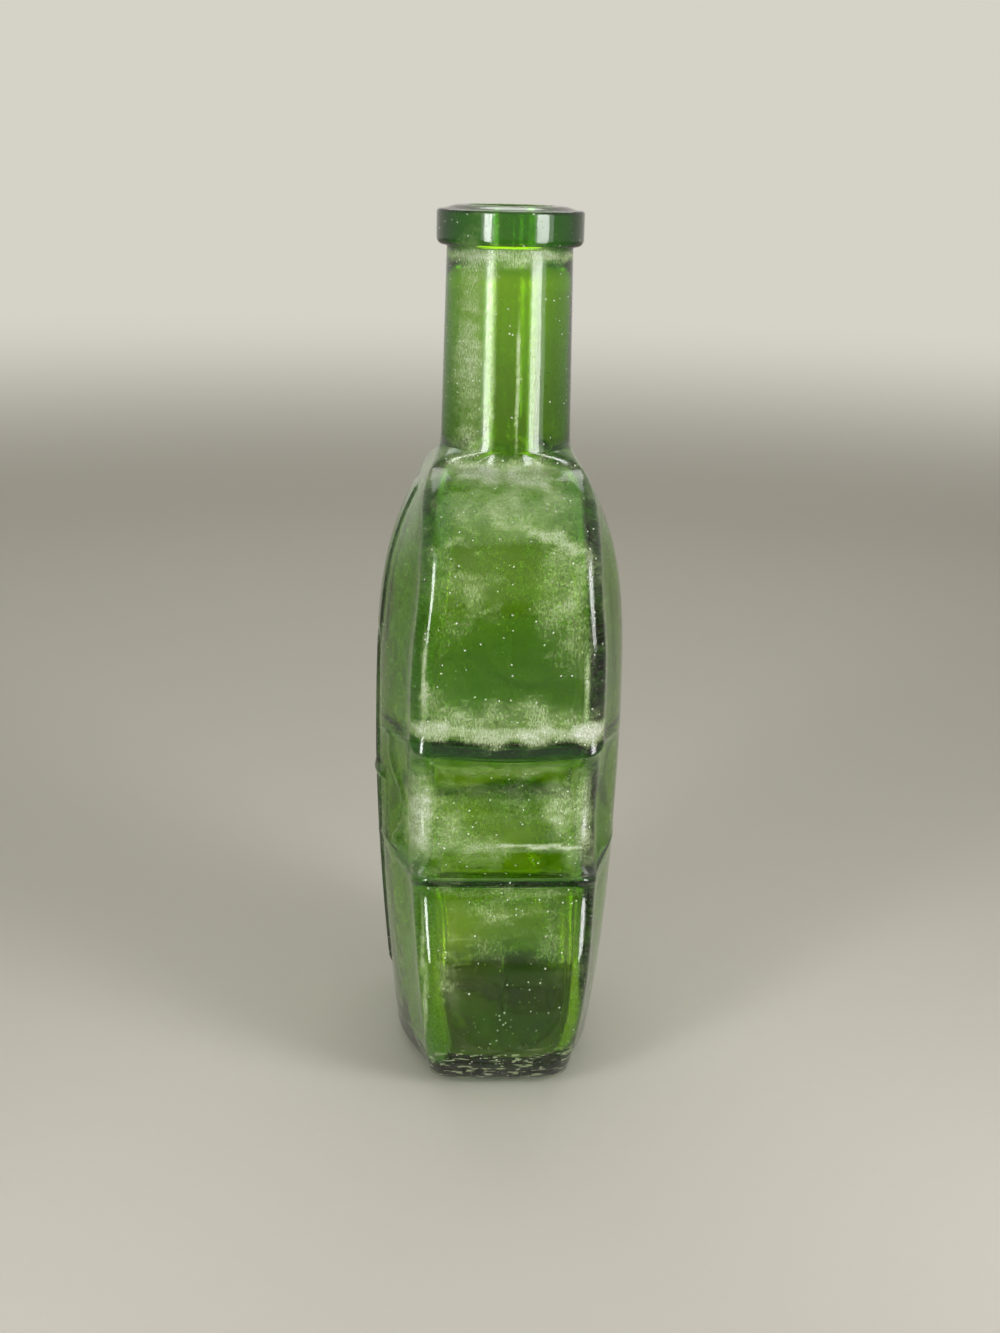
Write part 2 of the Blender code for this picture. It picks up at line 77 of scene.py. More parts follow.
def srgb_to_linear(code: str) -> tuple[float, float, float, float]:
    """Turn an sRGB hex code into a linear colour.

    Args:
        code: Six hex digits after a hash sign.

    Returns:
        Red, green and blue in linear light, and an alpha of one.
    """
    channels = []
    for start in (1, 3, 5):
        value = int(code[start:start + 2], 16) / 255
        channels.append(value / 12.92 if value <= 0.04045 else ((value + 0.055) / 1.055) ** 2.4)
    return (*channels, 1.0)


def smooth(value: Array | float, low: float, high: float) -> Array:
    """Rise smoothly from 0 where value is low to 1 where it is high. High may be below low."""
    share = np.clip((value - low) / (high - low), 0.0, 1.0)
    return share * share * (3 - 2 * share)


def steps(first: float, last: float, count: int) -> list[float]:
    """Return count + 1 evenly spaced values from first to last."""
    return [first + (last - first) * i / count for i in range(count + 1)]


def arc(across: float, up: float, radius: float, start: float, end: float, count: int) -> Pairs:
    """Return places round a centre, from the start angle to the end angle, in degrees."""
    turns = steps(math.radians(start), math.radians(end), count)
    return [(across + radius * math.cos(turn), up + radius * math.sin(turn)) for turn in turns]


def noise_over(grid: Array, scale: Array | float, shift: Array | tuple | float = 0.0) -> Array:
    """Return smooth noise from about -1 to 1 at each point, scaled and then shifted."""
    places = (grid * scale + shift).reshape(-1, 3).tolist()
    return np.array([noise.noise(place) for place in places]).reshape(grid.shape[:-1])


def ring_faces(rings: int, count: int) -> list[tuple[int, ...]]:
    """Return the faces that join rings of count points each, in the order of the points."""
    around = [(j, (j + 1) % count) for j in range(count)]
    return [(i + j, i + k, i + count + k, i + count + j)
            for i in range(0, (rings - 1) * count, count) for j, k in around]


def mesh_object(name: str, points: Array, faces: list) -> bpy.types.Object:
    """Make a smooth-shaded mesh object in the scene.

    Args:
        name: Name of the object.
        points: One row of three numbers for each vertex.
        faces: Vertex numbers of each face.

    Returns:
        The new object.
    """
    mesh = bpy.data.meshes.new(name)
    mesh.from_pydata(np.asarray(points).tolist(), [], faces)
    mesh.shade_smooth()
    piece = bpy.data.objects.new(name, mesh)
    bpy.context.scene.collection.objects.link(piece)
    return piece


def new_material(name: str) -> tuple[bpy.types.Material, Tree]:
    """Make a material with an empty node tree.

    Args:
        name: Name of the material.

    Returns:
        The material and its node tree.
    """
    material = bpy.data.materials.new(name)
    material.use_nodes = True
    material.node_tree.nodes.clear()
    return material, material.node_tree


def add_node(tree: Tree, kind: str, inputs: dict | None = None,
             **settings: str) -> bpy.types.NodeOutputs:
    """Add one shader node to a tree with its settings and links.

    Args:
        tree: The node tree of a material.
        kind: Blender's name for the kind of node, after the word ShaderNode.
        inputs: Values for its input sockets, by name or number. A socket given as the
            value is linked.
        settings: Properties of the node.

    Returns:
        The output sockets of the new node.
    """
    node = tree.nodes.new("ShaderNode" + kind)
    for name, value in settings.items():
        setattr(node, name, value)
    for name, value in (inputs or {}).items():
        if isinstance(value, Socket):
            tree.links.new(value, node.inputs[name])
        else:
            node.inputs[name].default_value = value
    return node.outputs


@dataclass(frozen=True)
class ViolinForm:
    """Sizes of the bottle, the same as in the CAD part, and the curves between them.

    The inner wall has the same form with an inset, which is the thickness of the glass.
    """

    inset: float = 0.0
    total_height: float = 0.2030
    neck_root: float = 0.1490
    upper_bout: float = 0.1150
    upper_corner: float = 0.0820
    lower_corner: float = 0.0557
    lower_bout: float = 0.0300
    deepest: float = 0.0770
    upper_bout_half_width: float = 0.0378
    upper_corner_half_width: float = 0.0362
    waist_half_width: float = 0.0265
    lower_corner_half_width: float = 0.0397
    lower_bout_half_width: float = 0.0440
    upper_draw_in: float = 0.0060
    lower_draw_in: float = 0.0110
    lower_bout_drop: float = 0.0424
    shoulder_width_power: float = 2.8
    rib_root_drop: float = 0.0034
    corner_flare_power: float = 6.0
    corner_tip_radius: float = 0.0014
    corner_crowding: float = 0.7
    corner_span: float = 0.0120
    upper_tip_bow: float = 0.0013
    upper_tip_turn: float = 0.0020
    lower_tip_bow: float = 0.0003
    lower_tip_turn: float = 0.0012
    deepest_half_depth: float = 0.0294
    foot_half_depth: float = 0.0233
    arch_height: float = 0.0072
    body_depth_power: float = 1.6
    shoulder_depth_power: float = 4.0
    shoulder_arch_power: float = 2.0
    arch_share_at_neck: float = -0.70
    plate_root_drop: float = 0.0014
    arch_power: float = 1.5
    rib_edge_radius: float = 0.0046
    rib_edge_share: float = 0.45
    rib_crown: float = 0.0008
    round_turn_power: float = 9.0
    ear_half_width: float = 0.0110
    ear_fade: float = 0.0016
    neck_root_radius: float = 0.0151
    neck_top_radius: float = 0.0144
    neck_root_blend: float = 0.0030
    bore_radius: float = 0.0115
    mouth_radius: float = 0.0097
    mouth_depth: float = 0.0100
    bore_taper: float = 0.0060
    lip_radius: float = 0.0168
    lip_band: float = 0.0080
    lip_lower_round: float = 0.0016
    lip_upper_round: float = 0.0008
    lip_slope: float = 0.0009
    lip_flat: float = 0.0014
    mouth_round: float = 0.0005
    under_lip_fillet: float = 0.0006
    wall: float = 0.0027
    corner_fill: float = 0.0050
    floor: float = 0.0060
    floor_crown: float = 0.0008
    inner_heel_radius: float = 0.0060
    heel_radius: float = 0.0040
    push_up: float = 0.0022
    standing_ring_share: float = 0.80

    @property
    def lip_underside(self) -> float:
        """Height of the lower face of the lip."""
        return self.total_height - self.lip_slope - self.lip_band

    def neck_radius(self, z: float) -> float:
        """Return the radius of the neck at height z, or of the bore for the inner wall."""
        share = max((z - self.neck_root) / (self.lip_underside - self.neck_root), 0.0)
        outer = self.neck_root_radius + (self.neck_top_radius - self.neck_root_radius) * share
        return self.bore_radius if self.inset else outer

    def bore(self, z: float) -> float:
        """Return the radius of the bore at height z, which narrows to the mouth."""
        share = min(max((self.total_height - self.mouth_depth - z) / self.bore_taper, 0.0), 1.0)
        widening = (1 - math.cos(math.pi * share)) / 2
        return self.mouth_radius + (self.bore_radius - self.mouth_radius) * widening

    def shoulder(self, z: float, wide: float, bout: float, root: float, power: float) -> float:
        """Half-size of the shoulder where it closes from a bout to the neck.

        Args:
            z: Height.
            wide: Half-size at the bout.
            bout: Height of the bout.
            root: Height of the neck root.
            power: How late the shoulder closes.

        Returns:
            The half-size at height z.
        """
        root = root - self.inset
        narrow = self.neck_radius(root)
        share = max(z - bout, 0.0) / (root - bout)
        closing = narrow + (wide - self.inset - narrow) * (1 - share ** power)
        neck = self.neck_radius(z)
        overlap = max(self.neck_root_blend - abs(closing - neck), 0.0) / self.neck_root_blend
        return max(closing, neck) + overlap * overlap * self.neck_root_blend / 4

    def plate_half_depth(self, z: float) -> float:
        """Return the half-depth over the crowns of the plates at height z."""
        if z > self.deepest:
            root = self.neck_root - self.plate_root_drop
            return self.shoulder(z, self.deepest_half_depth, self.deepest, root,
                                 self.shoulder_depth_power)
        share = (self.deepest - z) / self.deepest
        loss = (self.deepest_half_depth - self.foot_half_depth) * share ** self.body_depth_power
        return self.deepest_half_depth - self.inset - loss

    def neck_share(self, z: float) -> float:
        """Return how far z is on the way from the upper bout to the neck, from 0 to 1."""
        share = (z - self.upper_bout) / (self.neck_root - self.inset - self.upper_bout)
        return min(max(share, 0.0), 1.0)

    def rib_half_depth(self, z: float) -> float:
        """Return the half-depth at the edges of the rib wall at height z."""
        loss = (1 - self.arch_share_at_neck) * self.neck_share(z) ** self.shoulder_arch_power
        return self.plate_half_depth(z) - self.arch_height * (1 - loss)

    def lower_round_half_width(self, z: float) -> float:
        """Return the half-width of the round end of the lower bout at height z."""
        share = (self.lower_bout - z) / (self.lower_bout_drop - self.inset)
        return (self.lower_bout_half_width - self.inset) * math.sqrt(1 - share * share)

    def shoulder_half_width(self, z: float) -> float:
        """Return the half-width of the shoulder at height z."""
        root = self.neck_root - self.rib_root_drop
        return self.shoulder(z, self.upper_bout_half_width, self.upper_bout, root,
                             self.shoulder_width_power)

    def flank(self, bout: tuple, corner: tuple, draw_in: float, count: int) -> Pairs:
        """Outline from a bout, drawing in and then flaring out to a corner.

        Args:
            bout: Height and half-width of the bout.
            corner: Height and half-width of the corner.
            draw_in: How far the outline draws in between them.
            count: Steps on the way.

        Returns:
            Pairs of height and half-width, crowded towards the corner.
        """
        path = []
        for share in steps(0, 1, count):
            rise = share ** self.corner_crowding
            flare = (corner[1] - bout[1] + draw_in) * rise ** self.corner_flare_power
            path.append((bout[0] + (corner[0] - bout[0]) * rise, bout[1] - draw_in * rise ** 2 + flare))
        return path

    def outline(self, start: float, count: int) -> Pairs:
        """Violin outline from a height up to the neck root.

        Args:
            start: Height at which the outline begins.
            count: Steps in each stretch of the outline.

        Returns:
            Pairs of height and half-width.
        """
        fill = self.corner_fill if self.inset else 0.0
        lower_tip = (self.lower_corner - self.inset, self.lower_corner_half_width - fill)
        upper_tip = (self.upper_corner + self.inset, self.upper_corner_half_width - fill)
        lower_bout = (self.lower_bout, self.lower_bout_half_width - self.inset)
        upper_bout = (self.upper_bout, self.upper_bout_half_width - self.inset)
        waist = self.waist_half_width - self.inset
        root = self.neck_root - self.inset
        path = [(z, self.lower_round_half_width(z)) for z in steps(start, self.lower_bout, count)[:-1]]
        path += self.flank(lower_bout, lower_tip, self.lower_draw_in, count)
        lower_index = len(path) - 1
        for angle in steps(-QUARTER, QUARTER, 3 * count)[1:]:
            share = (math.sin(angle) + 1) / 2
            z, line = (low + (high - low) * share for low, high in zip(lower_tip, upper_tip))
            path.append((z, line + (waist - line) * math.cos(angle)))
        upper_index = len(path) - 1
        path += self.flank(upper_bout, upper_tip, self.upper_draw_in, count)[-2::-1]
        for angle in steps(0, QUARTER, 2 * count)[1:]:
            z = self.upper_bout + (root - self.upper_bout) * math.sin(angle)
            path.append((z, self.shoulder_half_width(z)))
        for tip in (upper_index, lower_index):
            path = self.round_tip(path, tip)
        return path

    def round_tip(self, path: Pairs, tip: int, reach: int = 3, count: int = 8) -> Pairs:
        """Replace a corner of a path by a small arc.

        Args:
            path: Pairs of height and half-width.
            tip: Number of the corner's point.
            reach: How many points away the path's directions are read.
            count: Steps round the arc.

        Returns:
            The path with the arc in place of the points that are closer to the corner.
        """
        corner = np.array(path[tip])
        into, out = (np.array(path[end]) - corner for end in (tip - reach, tip + reach))
        into, out = into / np.linalg.norm(into), out / np.linalg.norm(out)
        radius = self.corner_tip_radius + self.inset
        setback = radius / math.tan(math.acos(float(into @ out)) / 2)
        before = [point for point in path[:tip] if math.dist(point, corner) > setback]
        after = [point for point in path[tip + 1:] if math.dist(point, corner) > setback]
        bend = [tuple(corner + setback * ((1 - t) ** 2 * into + t * t * out)) for t in steps(0, 1, count)]
        return before + bend + after

    def tip_lift(self, z: float, across: Array, turned: Array) -> Array:
        """How far the ends of the four corners rise or sink towards the plates.

        Args:
            z: Height.
            across: Share of the way from the middle of the rib to its edge.
            turned: Share of the way round the rounded edge.

        Returns:
            Change of height at each place.
        """
        near_upper = max(1 - abs(z - self.upper_corner) / self.corner_span, 0.0)
        near_lower = max(1 - abs(z - self.lower_corner) / self.corner_span, 0.0)
        upper = self.upper_tip_bow * across ** 2 + self.upper_tip_turn * turned ** 2
        lower = self.lower_tip_bow * across ** 2 + self.lower_tip_turn * turned ** 2
        return near_upper ** 2 * upper - near_lower ** 2 * lower

    def neck_through(self, x: Array, y: Array, z: float) -> Array:
        """Let the round neck run down between the ends of the shoulders, to the rib's root.

        Args:
            x: Half-widths of a section.
            y: Half-depths at the same places.
            z: Height of the section.

        Returns:
            The half-widths, with what stood out beside the neck drawn in to it.
        """
        root = self.neck_root - self.rib_root_drop - self.inset
        neck = np.sqrt(np.clip(self.neck_radius(z) ** 2 - y * y, 0.0, None))
        spare = np.clip(x - np.maximum(neck, self.ear_half_width - self.inset), 0.0, None)
        return x - spare * smooth(z, root - self.ear_fade, root)


@dataclass(frozen=True)
class Strip:
    """Tapering strip down the middle of the front: the heights of its ends, and its half-widths there."""

    top: float
    end: float
    top_half: float
    end_half: float

    def cover(self, x: Array, z: Array, soft: float) -> Array:
        """How much each point belongs to the strip.

        Args:
            x: Across the front.
            z: Height above the foot.
            soft: Width of the strip's soft edges.

        Returns:
            Shares from 0 to 1.
        """
        half = self.end_half + (self.top_half - self.end_half) * (z - self.end) / (self.top - self.end)
        along = smooth(z, self.end, self.end + soft) * smooth(self.top - z, 0.0, soft)
        return smooth(half - np.abs(x), 0.0, soft) * along


@dataclass(frozen=True)
class FrontRelief:
    """Low relief of a fingerboard, strings, bridge, tailpiece and sound holes, with soft edges."""

    board: Strip = Strip(0.1400, 0.1040, 0.0060, 0.0075)
    tailpiece: Strip = Strip(0.0545, 0.0200, 0.0070, 0.0045)
    board_rise: float = 0.0005
    bridge_rise: float = 0.0008
    string_rise: float = 0.0004
    hole_rise: float = 0.0005
    bridge_height: float = 0.0700
    bridge_half_width: float = 0.0090
    bridge_half_thickness: float = 0.0012
    string_half_width: float = 0.0006
    string_count: int = 4
    spread_at_board: float = 0.55
    spread_at_tail: float = 0.70
    hole_half_length: float = 0.0120
    hole_offset: float = 0.0165
    hole_sway: float = 0.0026
    hole_lean: float = 0.0012
    hole_half_width: float = 0.0012
    hole_end_half_width: float = 0.0018
    hole_swell_power: int = 4
    hole_soft: float = 0.00048
    soft: float = 0.0006
    facing_start: float = 0.05
    facing_full: float = 0.4

    def strings(self, x: Array, z: Array) -> Array:
        """Strings that spread from the fingerboard to the tailpiece.

        Args:
            x: Across the front.
            z: Height.

        Returns:
            How much each point belongs to a string, from 0 to 1.
        """
        board, tail = self.board, self.tailpiece
        at_board = board.end_half * self.spread_at_board
        at_tail = tail.top_half * self.spread_at_tail
        spread = at_board + (at_tail - at_board) * (board.end - z) / (board.end - tail.top)
        threads = np.zeros(x.shape)
        for side in steps(-1, 1, self.string_count - 1):
            offset = (x - side * spread) / self.string_half_width
            threads = np.maximum(threads, np.sqrt(np.clip(1 - offset ** 2, 0.0, 1.0)))
        stretch = smooth(z, tail.top - self.soft, tail.top)
        return threads * stretch * smooth(board.end + self.soft - z, 0.0, self.soft)

    def sound_holes(self, x: Array, z: Array) -> Array:
        """Two swaying sound holes, wider towards their ends.

        Args:
            x: Across the front.
            z: Height.

        Returns:
            How much each point belongs to a hole, from 0 to 1.
        """
        from_middle = z - self.bridge_height
        share = np.clip(from_middle / self.hole_half_length, -1.0, 1.0)
        swell = self.hole_end_half_width - self.hole_half_width
        half = self.hole_half_width + swell * share ** self.hole_swell_power
        place = self.hole_offset - self.hole_sway * np.sin(math.pi * share) - self.hole_lean * share
        across = smooth(half - np.abs(np.abs(x) - place), 0.0, self.hole_soft)
        end = self.hole_half_length + self.hole_end_half_width
        return across * smooth(end - np.abs(from_middle), 0.0, 2 * self.soft)

    def height(self, x: Array, z: Array) -> Array:
        """Height of the relief over the arched plate.

        Args:
            x: Across the front.
            z: Height above the foot.

        Returns:
            How far the relief stands out at each point.
        """
        bridge = smooth(self.bridge_half_thickness - np.abs(z - self.bridge_height), 0.0, self.soft)
        bridge = bridge * smooth(self.bridge_half_width - np.abs(x), 0.0, self.soft)
        return np.max([self.board_rise * self.board.cover(x, z, self.soft),
                       self.board_rise * self.tailpiece.cover(x, z, self.soft),
                       self.bridge_rise * bridge,
                       self.string_rise * self.strings(x, z),
                       self.hole_rise * self.sound_holes(x, z)], 0)


@dataclass(frozen=True)
class SectionColumns:
    """Where the columns of points stand round one level ring of the bottle.

    A place on a quarter ring is a number from 0 at the crown of a plate, over 5 at the end
    of the arch and 8 at the end of the rounded edge, to 10 at the middle of the rib.
    """

    arch_end: float = 5.0
    edge_end: float = 8.0
    rib_end: float = 10.0
    fine_reach: float = 0.0065
    relief_reach: float = 0.0200
    relief_share: float = 0.88
    fine_step: float = 0.00035
    relief_step: float = 0.0007
    outer_count: int = 6
    back_count: int = 14
    edge_count: int = 8
    rib_count: int = 16
    seam_places: tuple = (0.0003, 0.0006, 0.0010)
    seam_shares: tuple = (0.1, 0.2, 0.3)

    def front_arch(self, reach: float) -> Array:
        """Return places on the front plate's arch, crowded where the relief is."""
        fine = np.arange(0.0, self.fine_reach, self.fine_step)
        relief = np.arange(self.fine_reach, self.relief_reach, self.relief_step)
        shrink = min(1.0, self.relief_share * reach / self.relief_reach)
        outer = np.linspace(self.relief_reach * shrink, reach, self.outer_count + 1)[:-1]
        return np.concatenate([fine * shrink, relief * shrink, outer]) / reach * self.arch_end

    def quarters(self, flat: float, reach: float) -> list[Array]:
        """Places round the back quarter and the front quarter, crowded at the mould seam.

        Args:
            flat: Half-depth of the rib wall between its rounded edges.
            reach: Half-width of the arch.

        Returns:
            The places of each quarter, from the crown to the middle of the rib.
        """
        back = np.linspace(0.0, self.arch_end, self.back_count + 1)[:-1]
        edge = np.linspace(self.arch_end, self.edge_end, self.edge_count + 1)[:-1]
        seam = []
        for y, most in zip(self.seam_places, self.seam_shares):
            seam.append(self.rib_end - (self.rib_end - self.edge_end) * min(y / flat, most))
        rib = np.linspace(self.edge_end, seam[-1], self.rib_count + 1)[:-1]
        side = np.concatenate([edge, rib, seam[::-1], [self.rib_end]])
        return [np.concatenate([arch, side]) for arch in (back, self.front_arch(reach))]

    def shares(self, places: Array) -> list[Array]:
        """Return how much of the arch, of the rounded edge and of the rib lies before each place."""
        marks = (0.0, self.arch_end, self.edge_end, self.rib_end)
        return [np.clip((places - start) / (end - start), 0.0, 1.0) for start, end in zip(marks, marks[1:])]


@dataclass(frozen=True)
class Patch:
    """One soft-edged patch on the wall, of dried lime or of thicker glass.

    The side is 1 or -1 for the rib towards or away from the photograph's camera, and 0
    for both. The amount is a share for lime, and a thickness for glass. It is full inside
    the core and gone at the rim less the core, both as shares of the patch's half-sizes.
    Some patches of lime are painted highlights or painted sheen.
    """

    side: int
    y: float
    z: float
    half_y: float
    half_z: float
    amount: float
    core: float = 0.5
    ragged: float = 1.0
    slope: float = 0.0
    rim: float = 1.8

    def spread(self, grid: Array, drift: Array) -> Array:
        """How much the patch adds at each point.

        Args:
            grid: Array of ring, column and X, Y, Z.
            drift: How far each point has crept across and up the wall.

        Returns:
            Amounts from 0 to the patch's own.
        """
        across = grid[..., 1] - self.y + self.ragged * drift[..., 0]
        up = grid[..., 2] - self.z - self.slope * across + self.ragged * drift[..., 1]
        reach = np.sqrt((across / self.half_y) ** 2 + (up / self.half_z) ** 2)
        facing = grid[..., 0] * self.side > 0 if self.side else 1.0
        return self.amount * smooth(reach, self.rim - self.core, self.core) * facing


def patches(*rows: tuple) -> tuple[Patch, ...]:
    """Return patches from rows whose second to fifth values, places and sizes, are in millimetres."""
    return tuple(Patch(row[0], *(size * MM for size in row[1:5]), *row[5:]) for row in rows)


class Shell(Enum):
    """The two faces of the glass, numbered as the mesh stores them."""

    OUTER = 0
    INNER = 1


@dataclass(frozen=True)
class DriedHaze:
    """How much lime has dried where, inside and out: thick on ledges, thin between.

    A patch's row holds its side, Y, Z, half-size across, half-size up, amount, core,
    raggedness and slope. Some patches on the neck, the waist and the rib edges are painted
    highlights and sheen, laid on as lime.
    """

    inside: tuple = patches(
        (0, 0, 144, 30, 3.5, 0.70),
        (0, 0, 137, 30, 6, 0.60),
        (1, 8, 124, 14, 13, 0.60, 0.2),
        (1, -12, 118, 8, 16, 0.45, 0.2),
        (-1, 0, 83, 30, 9, 0.85, 0.6, 0.6),
        (1, 0, 74, 24, 6, 0.35, 0.2),
        (1, -10, 65, 18, 11, 0.60, 0.2, 0.5),
        (1, 12, 63, 13, 9, 0.50, 0.2, 0.5),
        (0, 0, 50, 20, 3, 0.55),
        (1, 12, 42, 7, 9, 0.45, 0.2),
    )
    # The narrow strips at -4.5 and 5.2 mm lay lime over the two lamps' streaks on the neck, partly a
    # painted highlight. The broad strip at -9.2 mm is a painted sheen over the neck's left side, laid on as
    # lime.
    neck_lime_and_highlights: tuple = patches(
        (1, 0, 192.2, 20, 2.2, 0.55, 0.6, 0.3),
        (1, -9.2, 170, 4, 33, 0.50, 0.3, 0.1),
        (1, -4.5, 172, 1.4, 26, 0.50, 0.3, 0.3),
        (1, 1.5, 164, 0.6, 18, 0.62, 0.3, 0.1),
        (1, 5.2, 170, 1.2, 28, 0.46, 0.3, 0.3),
        (1, 0, 157.5, 12, 0.4, 0.58, 0.5, 0.3, 0.04),
        (1, 2, 155.7, 12, 0.4, 0.52, 0.5, 0.3, -0.03),
    )
    neck_root: tuple = patches(
        (1, -8.5, 144.8, 8, 2.6, 0.64, 0.3),
        (1, 5, 144.2, 10, 2.2, 0.60, 0.3),
        (0, 0, 145, 26, 3.6, 0.44, 0.2),
        (1, 0, 140, 20, 8, 0.44, 0.3),
        (1, -6, 139.2, 11, 1.3, 0.42, 0.5, 1.0, -0.06),
        (1, 8, 138.5, 8, 2, 0.38),
    )
    upper_bout: tuple = patches(
        (1, 6, 133.8, 5.5, 0.9, 0.68, 0.5, 0.5, -0.30),
        (1, 11, 132, 8, 2, 0.72, 0.3, 1.0, -0.35),
        (1, 13, 129, 8, 4.5, 0.38, 0.2, 1.0, -0.35),
        (1, -12, 132, 5.5, 0.7, 0.70, 0.5, 0.4),
        (-1, -6, 130, 8, 2.5, 0.60),
        (1, -11, 122, 9, 13, 0.30, 0.1),
        (1, 12.5, 119, 9.5, 17, 0.38, 0.1),
        (1, 12, 114, 8, 13, 0.30, 0.2),
    )
    upper_ledge: tuple = patches(
        (1, -16, 95, 6, 4.5, 0.34, 0.2),
        (0, 0, 91.5, 25, 5.5, 0.46, 0.2),
        (1, -16.5, 89.2, 6.5, 3, 0.66, 0.5, 0.4),
        (1, -5, 88.4, 9.5, 2.8, 0.62, 0.5, 0.4),
        (1, 8, 88.4, 9, 2.8, 0.70, 0.5, 0.4),
        (1, 18, 89, 5, 3.4, 0.80, 0.5, 0.4),
        (-1, 0, 89, 22, 2.8, 0.55, 0.7, 0.7),
    )
    waist: tuple = patches(
        (1, 0, 78.5, 23, 4, 0.32, 0.3, 0.5),
        (1, 13.5, 69, 6.5, 9, 0.50, 0.2, 0.5),
        (0, 0, 68, 23, 11, 0.22, 0.1),
        # The two rows at -19.3 and 18.5 mm whiten the waist's rounded edges: lime, and partly a painted
        # highlight for the lamps' broad reflections there.
        (1, -19.3, 67, 4.2, 12.5, 0.66, 0.3, 0.4),
        (1, 18.5, 66.5, 3.2, 11, 0.58, 0.3, 0.3),
        (1, -15, 64, 9, 12, 0.36, 0.2, 0.5),
        (-1, 13.5, 64, 8, 7.5, 0.50),
        (1, 9, 59.8, 14.5, 0.5, 0.70, 0.5, 0.3, -0.05),
        (1, -7, 59, 11, 3.5, 0.40, 0.3, 0.7),
        (1, 18, 59, 5, 4, 0.36, 0.3),
    )
    lower_bout: tuple = patches(
        (0, 0, 52, 20, 2, 0.36, 0.3, 0.5),
        (1, -1, 48, 12, 3.5, 0.34, 0.2),
        (1, 11, 41, 8, 8, 0.30, 0.1),
        (1, 0, 40, 17, 7, 0.16, 0.1),
        (1, -12.5, 34.5, 3.6, 11, 0.28, 0.2, 0.3),
        (0, 0, -1, 50, 2, 0.80, 0.5, 0.1),
    )
    # Thin white lines of lime down the rounded rib edges: a painted highlight that carries the lamps' edge
    # reflections on below where they end.
    rib_edge_lime_and_highlights: tuple = patches(
        (1, -19, 100, 0.8, 14, 0.58, 0.4, 0.1),
        (1, 17.4, 99, 0.8, 13, 0.52, 0.4, 0.1),
        (1, -18.7, 42, 0.7, 11, 0.58, 0.4, 0.1),
        (1, -17.8, 26, 0.7, 12, 0.58, 0.4, 0.1),
    )
    # The rise over the top of the upper bout, from 0.120 to 0.138 m, is partly lime and partly a painted
    # sheen of a bright ceiling.
    lining: tuple = ((0.006, 0.05), (0.020, 0.05), (0.045, 0.12), (0.060, 0.30), (0.076, 0.30),
                     (0.081, 0.08), (0.090, 0.18), (0.108, 0.20), (0.120, 0.30), (0.138, 0.50),
                     (0.150, 0.20), (0.203, 0.15))
    floor_amount: float = 0.05
    drift_size: float = 0.0080
    drift_reach: float = 0.0022
    drift_fineness: float = 1.9
    drift_shift: tuple = (7.3, 2.1, 4.4)
    front_amount: float = 0.85
    back_amount: float = 0.30
    plate_start: float = 0.008
    plate_full: float = 0.026
    plate_ragged: float = 5.0
    plate_facing_start: float = 0.2
    plate_facing_full: float = 0.7
    neck_end: float = 0.1450
    neck_fade: float = 0.0100

    @property
    def outside(self) -> tuple:
        """All patches on the outer face."""
        return (self.neck_lime_and_highlights + self.neck_root + self.upper_bout + self.upper_ledge + self.waist
                + self.lower_bout + self.rib_edge_lime_and_highlights)

    def amount(self, grid: Array, normals: Array, shell: Shell) -> Array:
        """How much lime there is on one face of the glass.

        Args:
            grid: Array of ring, column and X, Y, Z.
            normals: The face's normal at each point.
            shell: The face of the glass.

        Returns:
            The amount at each point.
        """
        drift = self.drift(grid)
        if shell is Shell.INNER:
            stains = self.inside
            facing = smooth(np.abs(normals[..., 1]), self.plate_facing_start, self.plate_facing_full)
            total = self.lined(grid, facing, drift[..., 1])
        else:
            stains = self.outside
            total = np.zeros(grid.shape[:2])
        for stain in stains:
            total = np.maximum(total, stain.spread(grid, drift))
        return total

    def lined(self, grid: Array, facing: Array, creep: Array) -> Array:
        """Lime that lines the inner wall, by height, and more of it under the plates.

        Args:
            grid: Array of ring, column and X, Y, Z.
            facing: How much each point faces the front or the back, from 0 to 1.
            creep: How far each point has crept up the wall.

        Returns:
            The amount at each point.
        """
        x, y, z = np.moveaxis(grid, -1, 0)
        body = smooth(z, self.neck_end, self.neck_end - self.neck_fade)
        near_rib = smooth(np.abs(x) + self.plate_ragged * creep, self.plate_start, self.plate_full)
        plate = np.where(y < 0, self.front_amount, self.back_amount) * near_rib * facing * body
        return np.maximum(np.interp(z, *zip(*self.lining)), plate)

    def drift(self, grid: Array) -> Array:
        """Return how far wet lime crept across and up the wall, which leaves ragged outlines."""
        up = noise_over(grid, self.drift_fineness / self.drift_size, self.drift_shift)
        return self.drift_reach * np.stack([noise_over(grid, 1 / self.drift_size), up], -1)


